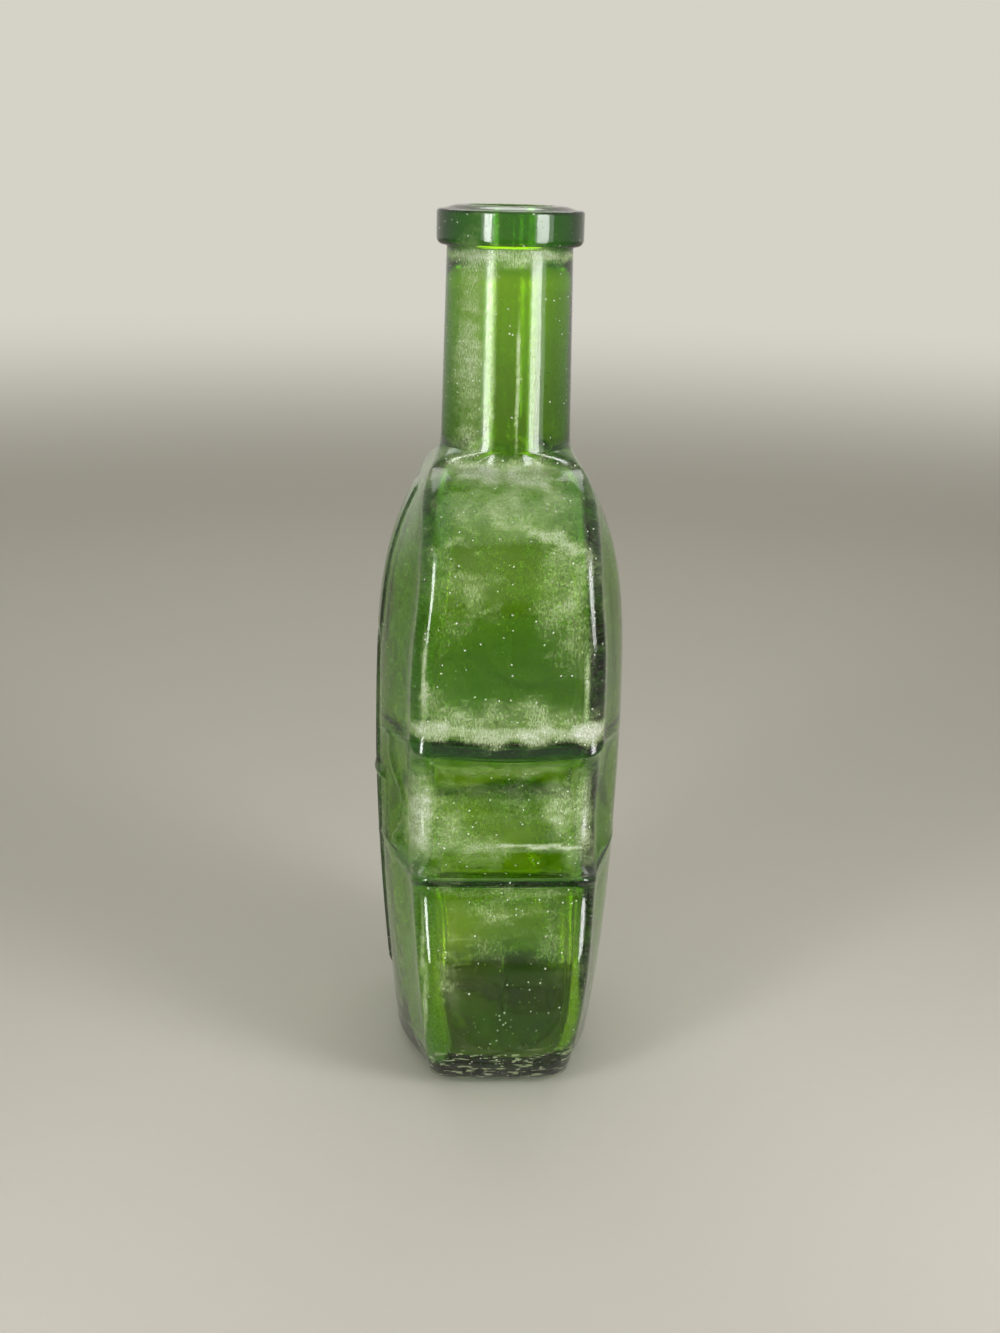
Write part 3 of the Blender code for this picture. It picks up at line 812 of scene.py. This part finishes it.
@dataclass(frozen=True)
class GlassWall:
    """The bottle's glass: one closed surface round the outside and the hollow.

    Waves and seam fade out over the steady stretches beside the foot, the lip and the
    mouth, which keep their sizes. The uneven patches make the wall thicker or thinner.
    """

    form: ViolinForm = ViolinForm()
    relief: FrontRelief = FrontRelief()
    columns: SectionColumns = SectionColumns()
    haze: DriedHaze = DriedHaze()
    outer_steps: int = 20
    inner_steps: int = 14
    heel_steps: int = 8
    neck_steps: int = 26
    outer_blend_steps: int = 6
    inner_blend_steps: int = 5
    fillet_steps: int = 4
    lip_steps: int = 6
    band_steps: int = 5
    mouth_steps: int = 5
    seam_height: float = 0.00008
    seam_half_width: float = 0.0007
    seam_gap: float = 0.008
    outer_wave: float = 0.00005
    inner_wave: float = 0.00034
    wave_length: float = 0.016
    wave_stretch: float = 0.45
    ripple: float = 0.35
    ripple_fineness: float = 2.7
    wave_shifts: tuple = ((3.1, 1.7, 0.4), (-2.3, 5.2, 7.9))
    steady_foot: tuple = (0.001, 0.006)
    steady_lip: tuple = (0.0016, 0.003)
    steady_mouth: tuple = (0.001, 0.005)
    neck_calm: float = 0.55
    neck_calm_reach: float = 0.012
    floor_swell: float = 1.5
    floor_swell_reach: tuple = (0.020, 0.009)
    uneven: tuple = patches(
        (0, 0, 101, 20, 14, 1.6 * MM, 0.2),
        (1, 4, 109, 11, 7, 1.0 * MM, 0.0),
        (1, -8, 98, 7, 6, 0.8 * MM, 0.0),
        (1, 4, 29, 7.5, 15, 1.8 * MM, 0.0),
        (1, -12.5, 33, 4.2, 13, -1.1 * MM, 0.2),
        (1, 15, 28, 2, 20, -0.8 * MM, 0.2),
        (1, 4, 70, 7, 6, 1.2 * MM, 0.0),
        (0, 0, 168, 30, 25, 0.4 * MM, 0.4),
    )

    def section(self, form: ViolinForm, z: float, half_width: float, loss: float = 0.0,
                scale: float = 1.0, level: float | None = None) -> Array:
        """Closed ring of the body at height z: arched plates, rounded edges and rib walls.

        Args:
            form: The form of the outer or of the inner wall.
            z: Height at which the curves are read.
            half_width: Half-width of the violin outline there.
            loss: How far a rounded heel draws the ring in.
            scale: Share of the ring's full size, for the rings of a floor.
            level: Height at which the ring lies, if it isn't z.

        Returns:
            X, Y and Z of each column, counter-clockwise from the rib at +X.
        """
        plate = form.plate_half_depth(z) - loss
        rib = form.rib_half_depth(z) - loss
        half_width = half_width - loss
        edge = min(form.rib_edge_radius, form.rib_edge_share * rib)
        reach = half_width - form.rib_crown - edge
        turn = form.neck_share(z) ** form.round_turn_power
        quarters = []
        for places in self.columns.quarters(rib - edge, reach):
            arch, bend, flat = self.columns.shares(places)
            x = reach * arch + edge * np.sin(bend * QUARTER) + form.rib_crown * (1 - (1 - flat) ** 2)
            y = rib + (plate - rib) * (1 - arch * arch) ** form.arch_power
            y = (y - edge * (1 - np.cos(bend * QUARTER))) * (1 - flat)
            x = form.neck_through(x, y, z)
            lift = form.tip_lift(z, np.clip(y / rib, 0.0, 1.0) * arch, (1 - bend) * arch)
            angle = places / self.columns.rib_end * QUARTER
            x = (x + (half_width * np.sin(angle) - x) * turn) * scale
            y = (y + (plate * np.cos(angle) - y) * turn) * scale
            quarters.append(np.stack([x, y, (z if level is None else level) + lift], -1))
        return self.full_ring(*quarters)

    @staticmethod
    def full_ring(back: Array, front: Array) -> Array:
        """Close a back and a front quarter, each from crown to rib, into a ring from the +X rib."""
        return np.concatenate([back[:0:-1], back[:-1] * (-1, 1, 1),
                               front[:0:-1] * (-1, -1, 1), front[:-1] * (1, -1, 1)])

    def round_ring(self, half_width: float, half_depth: float, z: float) -> Array:
        """Round or oval ring with the columns as they stand at the neck root.

        Args:
            half_width: Half-size across X.
            half_depth: Half-size across Y.
            z: Height.

        Returns:
            X, Y and Z of the whole ring.
        """
        flat = self.form.neck_root_radius - self.form.rib_edge_radius
        quarters = []
        for places in self.columns.quarters(flat, flat - self.form.rib_crown):
            angle = places / self.columns.rib_end * QUARTER
            ring = [half_width * np.sin(angle), half_depth * np.cos(angle), np.full(len(angle), z)]
            quarters.append(np.stack(ring, -1))
        return self.full_ring(*quarters)

    def heel(self, form: ViolinForm, floor: float, radius: float) -> list:
        """Rings of a rounded heel, from its lowest edge up.

        Args:
            form: The form of the outer or of the inner wall.
            floor: Height of the heel's lowest edge.
            radius: Radius of the heel.

        Returns:
            The rings.
        """
        rings = []
        for loss, rise in arc(radius, radius, radius, -90, -180, self.heel_steps):
            z = floor + rise
            rings.append(self.section(form, z, form.lower_round_half_width(z), loss))
        return rings

    def outer_rings(self) -> list:
        """Return the rings from the hollow under the foot up to the edge of the mouth."""
        form = self.form
        rings = []
        half_width = form.lower_round_half_width(0.0)
        for share in steps(0, form.standing_ring_share, self.heel_steps)[1:]:
            level = form.push_up * (1 - (share / form.standing_ring_share) ** 2)
            rings.append(self.section(form, 0.0, half_width, form.heel_radius, share, level))
        rings += self.heel(form, 0.0, form.heel_radius)
        for z, half_width in form.outline(form.heel_radius, self.outer_steps)[1:]:
            rings.append(self.section(form, z, half_width))
        blend_top = form.neck_root + form.neck_root_blend
        for z in steps(form.neck_root, blend_top, self.outer_blend_steps)[1:]:
            rings.append(self.round_ring(form.shoulder_half_width(z), form.plate_half_depth(z), z))
        fillet = form.lip_underside - form.under_lip_fillet
        neck = [(form.neck_radius(z), z) for z in steps(blend_top, fillet, self.neck_steps)[1:]]
        return rings + [self.round_ring(radius, radius, z) for radius, z in neck + self.lip_profile()]

    def lip_profile(self) -> Pairs:
        """Return radii and heights over the lip, from its fillet to the edge of the mouth."""
        form = self.form
        under, top = form.lip_underside, form.total_height - form.lip_slope
        fillet, low, high, mouth = (form.under_lip_fillet, form.lip_lower_round,
                                    form.lip_upper_round, form.mouth_round)
        start = form.lip_radius - high
        flat_edge = form.mouth_radius + mouth + form.lip_flat
        profile = arc(form.neck_top_radius + fillet, under - fillet, fillet, 180, 90, self.fillet_steps)[1:]
        profile += arc(form.lip_radius - low, under + low, low, -90, 0, self.lip_steps)
        profile += [(form.lip_radius, z) for z in steps(under + low, top - high, self.band_steps)[1:-1]]
        profile += arc(start, top - high, high, 0, 90, self.lip_steps)
        for share in steps(0, 1, self.lip_steps)[1:]:
            rise = form.lip_slope * (1 - math.cos(share * math.pi)) / 2
            profile.append((start + (flat_edge - start) * share, top + rise))
        centre = form.mouth_radius + mouth
        return profile + arc(centre, form.total_height - mouth, mouth, 90, 180, self.mouth_steps)

    def inner_rings(self) -> list:
        """Return the rings from the bore down to the middle of the inner floor."""
        form = replace(self.form, inset=self.form.wall)
        root = form.neck_root - form.inset
        blend_top = root + form.neck_root_blend
        rings = []
        for z in steps(form.total_height - form.mouth_round, blend_top, self.neck_steps)[1:]:
            rings.append(self.round_ring(form.bore(z), form.bore(z), z))
        for z in steps(blend_top, root, self.inner_blend_steps)[1:-1]:
            rings.append(self.round_ring(form.shoulder_half_width(z), form.plate_half_depth(z), z))
        start = form.floor + form.inner_heel_radius
        for z, half_width in reversed(form.outline(start, self.inner_steps)[1:]):
            rings.append(self.section(form, z, half_width))
        rings += reversed(self.heel(form, form.floor, form.inner_heel_radius))
        half_width = form.lower_round_half_width(form.floor)
        for share in steps(1, 0, self.heel_steps)[1:-1]:
            level = form.floor + form.floor_crown * (1 - share * share)
            rings.append(self.section(form, form.floor, half_width, form.inner_heel_radius, share, level))
        return rings

    @staticmethod
    def normals(grid: Array) -> Array:
        """Unit normals of a grid of rings.

        Args:
            grid: Array of ring, column and X, Y, Z.

        Returns:
            An array of the same shape, pointing out of the glass.
        """
        around = np.roll(grid, -1, 1) - np.roll(grid, 1, 1)
        cross = np.cross(around, np.gradient(grid, axis=0))
        return cross / np.maximum(np.linalg.norm(cross, axis=-1, keepdims=True), 1e-12)

    def wave(self, grid: Array, shell: Shell) -> Array:
        """Slow swelling of the surface, as hot glass leaves it.

        Args:
            grid: Array of ring, column and X, Y, Z.
            shell: The face of the glass.

        Returns:
            A height for each point, from about -1 to 1.
        """
        slow = np.array((1.0, 1.0, self.wave_stretch)) / self.wave_length
        shift = np.array(self.wave_shifts[shell.value])
        return noise_over(grid, slow, shift) + self.ripple * noise_over(
            grid, slow * self.ripple_fineness, -shift)

    def shaped_outer(self) -> Array:
        """Return the outer face with its relief, seam and slight waves."""
        form, relief = self.form, self.relief
        grid = np.array(self.outer_rings())
        x, y, z = np.moveaxis(grid, -1, 0)
        facing = -y / np.maximum(np.maximum(np.abs(x), np.abs(y)), 1e-9)
        body = (z > form.heel_radius) & (z < form.neck_root)
        lift = relief.height(x, z) * smooth(facing, relief.facing_start, relief.facing_full) * body
        seam = self.seam_height * smooth(np.abs(y), self.seam_half_width, 0.0) * (np.abs(x) > self.seam_gap)
        swell = seam + self.outer_wave * self.wave(grid, Shell.OUTER)
        swell = swell * smooth(z, *self.steady_foot) * smooth(form.total_height - z, *self.steady_lip)
        grid = grid + self.normals(grid) * swell[..., None]
        grid[..., 1] -= lift
        return np.clip(grid, *(np.array(corner) for corner in CAD_BOX))

    def shaped_inner(self) -> Array:
        """Return the inner face with its waves, from the mouth down to the floor."""
        form = self.form
        grid = np.array(self.inner_rings())
        z = grid[..., 2]
        calm = 1 - self.neck_calm * smooth(z, form.neck_root - self.neck_calm_reach, form.neck_root)
        puddled = 1 + self.floor_swell * smooth(z, *self.floor_swell_reach)
        swell = self.inner_wave * self.wave(grid, Shell.INNER) * calm * puddled
        swell = swell * smooth(form.total_height - z, *self.steady_mouth)
        level = np.zeros((*z.shape, 2))
        for patch in self.uneven:
            swell = swell + patch.spread(grid, level)
        return grid + self.normals(grid) * swell[..., None]

    def build(self) -> bpy.types.Object:
        """Return the closed glass mesh, standing for the CAD node."""
        outer, inner = self.shaped_outer(), self.shaped_inner()
        rings, count = len(outer) + len(inner), outer.shape[1]
        foot = (0.0, 0.0, self.form.push_up)
        floor = (0.0, 0.0, self.form.floor + self.form.floor_crown)
        points = np.concatenate([outer.reshape(-1, 3), inner.reshape(-1, 3), [foot, floor]])
        faces = ring_faces(rings, count)
        first, last = rings * count, rings * count + 1
        for j in range(count):
            k = (j + 1) % count
            faces.append((last, first - count + j, first - count + k))
            faces.append((first, k, j))
        piece = mesh_object("moulded_glass", points, faces)
        # The lime amounts also carry the patches that are painted highlights and sheen.
        lime = np.concatenate([
            self.haze.amount(outer, self.normals(outer), Shell.OUTER).ravel(),
            self.haze.amount(inner, self.normals(inner), Shell.INNER).ravel(),
            (0.0, self.haze.floor_amount),
        ])
        shells = [shell.value for shell in (Shell.OUTER, Shell.INNER)]
        within = np.repeat(2 * shells, (len(outer) * count, len(inner) * count, 1, 1))
        for name, values in (("lime", lime), ("within", within)):
            store = piece.data.attributes.new(name, "FLOAT", "POINT")
            store.data.foreach_set("value", values.astype(np.float32))
        return piece

    def dress(self, piece: bpy.types.Object) -> None:
        """Give the glass its finish, fix it to the root body and hide the CAD node that it stands for."""
        piece.data.materials.append(DriedLime().material(SodaLimeGlass()))
        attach(piece, "root")
        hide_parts(CAD_NODE)


@dataclass(frozen=True)
class SodaLimeGlass:
    """Soda-lime glass coloured green by chromium and iron, pressed and blown in a mould.

    The surface is fire-bright with a faint orange-peel from the mould, so highlights are
    sharp but slightly broken. The colour comes from the depth of glass that light crosses:
    thin walls are yellow-green, thick corners dark green.
    """

    passed: str = "#E1F124"
    density: float = 918.0
    ior: float = 1.52
    smooth_roughness: float = 0.05
    smudged_roughness: float = 0.12
    etching: float = 0.22
    smudge_size: float = 9 * MM
    smudge_start: float = 0.50
    smudge_full: float = 0.80
    peel_size: float = 0.7 * MM
    peel_depth: float = 0.0035 * MM

    def surface(self, tree: Tree, place: Socket, lime: Socket) -> Socket:
        """Glass surface, less smooth where lime has etched it.

        Args:
            tree: The node tree.
            place: Socket with the place on the object.
            lime: Socket with the amount of lime.

        Returns:
            The shader socket.
        """
        smudge = add_node(tree, "TexNoise", {
            "Vector": place, "Scale": 1 / self.smudge_size, "Detail": 5.0, "Roughness": 0.65})["Fac"]
        rough = add_node(tree, "MapRange", {
            "Value": smudge, "From Min": self.smudge_start, "From Max": self.smudge_full,
            "To Min": self.smooth_roughness, "To Max": self.smudged_roughness})["Result"]
        rough = add_node(tree, "Math", {0: lime, 1: self.etching, 2: rough}, operation="MULTIPLY_ADD")[0]
        peel = add_node(tree, "TexNoise", {
            "Vector": place, "Scale": 1 / self.peel_size, "Detail": 3.0})["Fac"]
        bump = add_node(tree, "Bump", {"Height": peel, "Distance": self.peel_depth, "Strength": 1.0})[0]
        return add_node(tree, "BsdfPrincipled", {
            "Base Color": (1.0, 1.0, 1.0, 1.0), "IOR": self.ior, "Transmission Weight": 1.0,
            "Roughness": rough, "Normal": bump})[0]

    def depth_colour(self, tree: Tree) -> Socket:
        """Return the volume socket that colours light by the depth of glass it crosses."""
        return add_node(tree, "VolumeAbsorption", {
            "Color": srgb_to_linear(self.passed), "Density": self.density})[0]


@dataclass(frozen=True)
class LimeLayer:
    """One of the patterns that make lime uneven, with its share of the whole."""

    size: float
    share: float
    stretch: tuple = (1.0, 1.0, 1.0)
    swirl: float = 0.0


@dataclass(frozen=True)
class DriedLime:
    """Limescale: fine chalky crystals left by evaporated water, matt and greyish white.

    It grips the glass, so that light running inside the wall scatters out of it, and what
    is behind shows through between the grains. Single grains stand as white specks, and
    thin flakes cling to the outside round the foot. Where it lies thin, it is tinted with
    painted green light from the glass behind it.
    """

    chalk: str = "#F2F3EC"
    damp: str = "#C0C6B0"
    # Thin lime takes a yellow-green tint: painted green light that the glass passes to it from behind.
    glass_lit_tint: str = "#D6EBA6"
    glass_lit_tint_cover: float = 0.22
    blotches: LimeLayer = LimeLayer(8 * MM, 0.65, swirl=0.6)
    run_streaks: LimeLayer = LimeLayer(2.6 * MM, 0.45, (0.5, 0.5, 1.4), 0.2)
    grains: LimeLayer = LimeLayer(0.4 * MM, 0.80, (1.3, 1.3, 0.5))
    damp_start: float = 0.38
    damp_full: float = 0.58
    speck_spacing: float = 1.8 * MM
    speck_reach: float = 0.11
    speck_share: float = 0.6
    flake_size: float = 2.6 * MM
    flake_cover: float = 0.50
    flake_edge: tuple = (0.56, 0.60)
    flake_stretch: tuple = (1.0, 1.0, 3.2)
    flake_heights: tuple = (15.5 * MM, 11.0 * MM)
    flake_widths: tuple = (18 * MM, 24 * MM)
    roughness: float = 0.85
    through_share: float = 0.45
    thin: float = 1.07
    thick: float = 1.94
    most_cover: float = 0.92

    def cloud(self, tree: Tree, place: Socket) -> Socket:
        """Uneven cover of lime, from blotches, run streaks and grains together.

        Args:
            tree: The node tree.
            place: Socket with the place on the object.

        Returns:
            A socket that averages half the sum of the layers' shares.
        """
        total = 0.0
        for layer in (self.blotches, self.run_streaks, self.grains):
            drawn = add_node(tree, "VectorMath", {0: place, 1: layer.stretch}, operation="MULTIPLY")[0]
            wave = add_node(tree, "TexNoise", {
                "Vector": drawn, "Scale": 1 / layer.size, "Detail": 4.0, "Roughness": 0.55,
                "Distortion": layer.swirl})["Fac"]
            total = add_node(tree, "Math", {0: wave, 1: layer.share, 2: total},
                             operation="MULTIPLY_ADD")[0]
        return total

    def specks(self, tree: Tree, place: Socket) -> Socket:
        """Single grains strewn at random.

        Args:
            tree: The node tree.
            place: Socket with the place on the object.

        Returns:
            A socket that is 1 on a grain and 0 beside it.
        """
        cells = add_node(tree, "TexVoronoi", {"Vector": place, "Scale": 1 / self.speck_spacing})
        near = add_node(tree, "Math", {0: cells["Distance"], 1: self.speck_reach}, operation="LESS_THAN")
        chosen = add_node(tree, "Math", {0: cells["Color"], 1: self.speck_share}, operation="LESS_THAN")
        return add_node(tree, "Math", {0: near[0], 1: chosen[0]}, operation="MULTIPLY")[0]

    def flakes(self, tree: Tree, place: Socket) -> Socket:
        """Thin flakes along the foot of the outer wall, on its +X side.

        Args:
            tree: The node tree.
            place: Socket with the place on the object.

        Returns:
            A socket with a flake's cover, and 0 beside it.
        """
        flat = add_node(tree, "VectorMath", {0: place, 1: self.flake_stretch}, operation="MULTIPLY")[0]
        scales = add_node(tree, "TexNoise", {
            "Vector": flat, "Scale": 1 / self.flake_size, "Detail": 3.0})["Fac"]
        cover = add_node(tree, "MapRange", {
            "Value": scales, "From Min": self.flake_edge[0], "From Max": self.flake_edge[1],
            "To Max": self.flake_cover})["Result"]
        within = add_node(tree, "Attribute", attribute_name="within")["Fac"]
        where = add_node(tree, "SeparateXYZ", {0: place})
        for value, limits in ((within, (1.0, 0.0)), (where["Z"], self.flake_heights),
                              (where["X"], self.flake_widths)):
            share = add_node(tree, "MapRange", {
                "Value": value, "From Min": limits[0], "From Max": limits[1]})["Result"]
            cover = add_node(tree, "Math", {0: cover, 1: share}, operation="MULTIPLY")[0]
        return cover

    def powder(self, tree: Tree, place: Socket, cover: Socket) -> Socket:
        """Chalky powder, whiter where it lies thick, that lets some light through.

        Args:
            tree: The node tree.
            place: Socket with the place on the object.
            cover: Socket with the share of the glass that the lime covers.

        Returns:
            The shader socket.
        """
        grain = add_node(tree, "TexNoise", {
            "Vector": place, "Scale": 1 / self.grains.size, "Detail": 2.0})["Fac"]
        colour = srgb_to_linear(self.damp)
        # Grains whiten the damp grey to chalk. Where the cover is thin, the colour turns to the glass-lit
        # tint, which is painted green light from the glass behind.
        for value, start, full, other in (
                (grain, self.damp_start, self.damp_full, srgb_to_linear(self.chalk)),
                (cover, self.most_cover, self.glass_lit_tint_cover, srgb_to_linear(self.glass_lit_tint))):
            share = add_node(tree, "MapRange", {
                "Value": value, "From Min": start, "From Max": full})["Result"]
            colour = add_node(tree, "Mix", {"Factor": share, 6: colour, 7: other}, data_type="RGBA")[2]
        chalk = add_node(tree, "BsdfPrincipled", {
            "Base Color": colour, "Roughness": self.roughness, "Specular IOR Level": 0.2})[0]
        glow = add_node(tree, "BsdfTranslucent", {"Color": colour})[0]
        return add_node(tree, "MixShader", {"Fac": self.through_share, 1: chalk, 2: glow})[0]

    def material(self, glass: SodaLimeGlass) -> bpy.types.Material:
        """Glass with lime over both of its faces.

        One material covers both, because light that enters the colour of the glass
        through one material leaves it only through the same one.

        Args:
            glass: The glass that carries the lime.

        Returns:
            The material.
        """
        material, tree = new_material("green_soda_lime_glass")
        place = add_node(tree, "TexCoord")["Object"]
        amount = add_node(tree, "Attribute", attribute_name="lime")["Fac"]
        over = add_node(tree, "Math", {0: self.cloud(tree, place), 1: amount}, operation="ADD")[0]
        cover = add_node(tree, "MapRange", {
            "Value": over, "From Min": self.thin, "From Max": self.thick,
            "To Max": self.most_cover}, interpolation_type="SMOOTHSTEP")["Result"]
        for marks in (self.specks(tree, place), self.flakes(tree, place)):
            cover = add_node(tree, "Math", {0: cover, 1: marks}, operation="MAXIMUM")[0]
        limed = add_node(tree, "MixShader", {
            "Fac": cover, 1: glass.surface(tree, place, amount), 2: self.powder(tree, place, cover)})[0]
        add_node(tree, "OutputMaterial", {"Surface": limed, "Volume": glass.depth_colour(tree)})
        return material


@dataclass(frozen=True)
class PalePaper:
    """Matt backdrop paper, pressed from pulp: pale, with a faint mottle and no gloss.

    Higher up it shows its full pale colour to the camera, and to gloss and glass.
    """

    paper: str = "#B4B1A8"
    backdrop: str = "#D5D2C8"
    backdrop_full: float = 0.10
    mottle_size: float = 4 * MM
    mottle_dark: float = 0.985
    roughness: float = 0.9

    def material(self) -> bpy.types.Material:
        """Return the paper's material."""
        material, tree = new_material("pale_paper")
        place = add_node(tree, "TexCoord")["Object"]
        mottle = add_node(tree, "TexNoise", {
            "Vector": place, "Scale": 1 / self.mottle_size, "Detail": 4.0})["Fac"]
        shade = add_node(tree, "MapRange", {"Value": mottle, "To Min": self.mottle_dark})["Result"]
        colour = add_node(tree, "VectorMath", {
            0: srgb_to_linear(self.paper)[:3], "Scale": shade}, operation="SCALE")[0]
        matt = add_node(tree, "BsdfPrincipled", {
            "Base Color": colour, "Roughness": self.roughness, "Specular IOR Level": 0.2})[0]
        plain = add_node(tree, "Emission", {"Color": srgb_to_linear(self.backdrop), "Strength": 1.0})[0]
        path = add_node(tree, "LightPath")
        seen = path["Is Camera Ray"]
        for name in ("Is Glossy Ray", "Is Transmission Ray"):
            seen = add_node(tree, "Math", {0: seen, 1: path[name]}, operation="MAXIMUM")[0]
        height = add_node(tree, "SeparateXYZ", {0: place})["Z"]
        wall = add_node(tree, "MapRange", {"Value": height, "From Max": self.backdrop_full},
                        interpolation_type="SMOOTHSTEP")["Result"]
        share = add_node(tree, "Math", {0: seen, 1: wall}, operation="MULTIPLY")[0]
        mixed = add_node(tree, "MixShader", {"Fac": share, 1: matt, 2: plain})[0]
        add_node(tree, "OutputMaterial", {"Surface": mixed})
        return material


@dataclass(frozen=True)
class SoftBox:
    """One soft lamp of the studio. A narrow spread is a grid that keeps light off the floor."""

    name: str
    width: float
    height: float
    azimuth: float
    elevation: float
    distance: float
    power: float
    spread: float = 180.0

    def build(self, aim: Vector) -> None:
        """Place the lamp, facing a point.

        Args:
            aim: The point that the lamp faces.
        """
        lamp = bpy.data.lights.new(self.name, "AREA")
        lamp.shape = "RECTANGLE"
        lamp.size, lamp.size_y = self.width, self.height
        lamp.energy = self.power
        lamp.spread = math.radians(self.spread)
        item = bpy.data.objects.new(self.name, lamp)
        bpy.context.scene.collection.objects.link(item)
        turn, rise = math.radians(self.azimuth), math.radians(self.elevation)
        away = Vector((math.cos(turn) * math.cos(rise), math.sin(turn) * math.cos(rise), math.sin(rise)))
        item.location = aim + away * self.distance
        item.rotation_mode = "QUATERNION"
        item.rotation_quaternion = away.to_track_quat("Z", "Y")
        item.visible_camera = False


@dataclass(frozen=True)
class Studio:
    """Round pale cove, soft lamps and the world's even light. The floor lies a hair below the foot."""

    flat_radii: tuple = (0.20, 0.60)
    floor_radius: float = 0.70
    cove_radius: float = 0.50
    wall_top: float = 1.4
    drop: float = 0.00003
    cove_steps: int = 16
    sides: int = 96
    world_grey: str = "#D4D1C8"
    world_strength: float = 0.80
    aim_height: float = 0.10
    lamps: tuple = (
        SoftBox("left_strip", 0.066, 0.30, -38.0, 8.0, 0.36, 0.35, 110.0),
        SoftBox("left_glow", 0.25, 0.56, -38.0, 17.0, 0.66, 0.44, 110.0),
        SoftBox("right_strip", 0.12, 0.30, 47.0, 8.0, 0.36, 0.45, 110.0),
        SoftBox("right_glow", 0.38, 0.56, 50.0, 17.0, 0.66, 0.67, 110.0),
        SoftBox("overhead_box", 0.80, 0.80, 20.0, 80.0, 1.00, 1.2),
        SoftBox("back_box", 0.90, 0.50, 180.0, 50.0, 0.95, 3.0),
    )

    def build(self) -> bpy.types.Object:
        """Return the cove, lit by the lamps."""
        profile = [(radius, 0.0) for radius in self.flat_radii]
        profile += arc(self.floor_radius, self.cove_radius, self.cove_radius, -90, 0, self.cove_steps)
        profile.append((self.floor_radius + self.cove_radius, self.wall_top))
        points = []
        for radius, z in profile:
            for turn in steps(0, -2 * math.pi, self.sides)[:-1]:
                points.append((radius * math.cos(turn), radius * math.sin(turn), z - self.drop))
        faces = ring_faces(len(profile), self.sides)
        faces += [(len(points), (j + 1) % self.sides, j) for j in range(self.sides)]
        points.append((0.0, 0.0, -self.drop))
        cove = mesh_object("studio_cove", np.array(points), faces)
        cove.data.materials.append(PalePaper().material())
        for lamp in self.lamps:
            lamp.build(Vector((0.0, 0.0, self.aim_height)))
        self.light_world()
        return cove

    def light_world(self) -> None:
        """Give the world its even pale light."""
        world = bpy.data.worlds.new("studio_air")
        bpy.context.scene.world = world
        world.use_nodes = True
        background = world.node_tree.nodes["Background"]
        background.inputs["Color"].default_value = srgb_to_linear(self.world_grey)
        background.inputs["Strength"].default_value = self.world_strength


@dataclass(frozen=True)
class PhotoCamera:
    """Camera at the photograph's viewing angle, with its angles in degrees."""

    distance: float = 0.4317
    height: float = 0.2136
    turn: float = 3.571
    tilt: float = 15.39
    roll: float = 1.378
    focal_pixels: float = 1853.8
    long_side_pixels: float = 1333.0
    sensor: float = 36.0
    clip_start: float = 0.01

    def build(self) -> None:
        """Place the scene's camera."""
        turn, tilt, roll = (math.radians(angle) for angle in (self.turn, self.tilt, self.roll))
        data = bpy.data.cameras.new("photo_camera")
        data.sensor_width = self.sensor
        data.lens = self.focal_pixels / self.long_side_pixels * self.sensor
        data.clip_start = self.clip_start
        camera = bpy.data.objects.new("photo_camera", data)
        bpy.context.scene.collection.objects.link(camera)
        place = (math.cos(turn) * self.distance, -math.sin(turn) * self.distance, self.height)
        aim = Matrix.Rotation(QUARTER - turn, 4, "Z") @ Matrix.Rotation(QUARTER - tilt, 4, "X")
        camera.matrix_world = Matrix.Translation(place) @ aim @ Matrix.Rotation(roll, 4, "Z")
        bpy.context.scene.camera = camera


def report(piece: bpy.types.Object) -> None:
    """Log the size of a finished piece."""
    size = " x ".join(f"{side / MM:.1f}" for side in piece.dimensions)
    log.info("%s: %d faces, %s mm", piece.name, len(piece.data.polygons), size)


def main() -> None:
    """Build the bottle, its haze and the studio, and report each piece."""
    logging.basicConfig(level=logging.INFO, format="%(message)s")
    bpy.context.scene.view_settings.view_transform = "Standard"
    PhotoCamera().build()
    wall = GlassWall()
    glass = wall.build()
    wall.dress(glass)
    cove = Studio().build()
    bpy.context.view_layer.update()
    for piece in (glass, cove):
        report(piece)


if __name__ == "__main__":
    main()
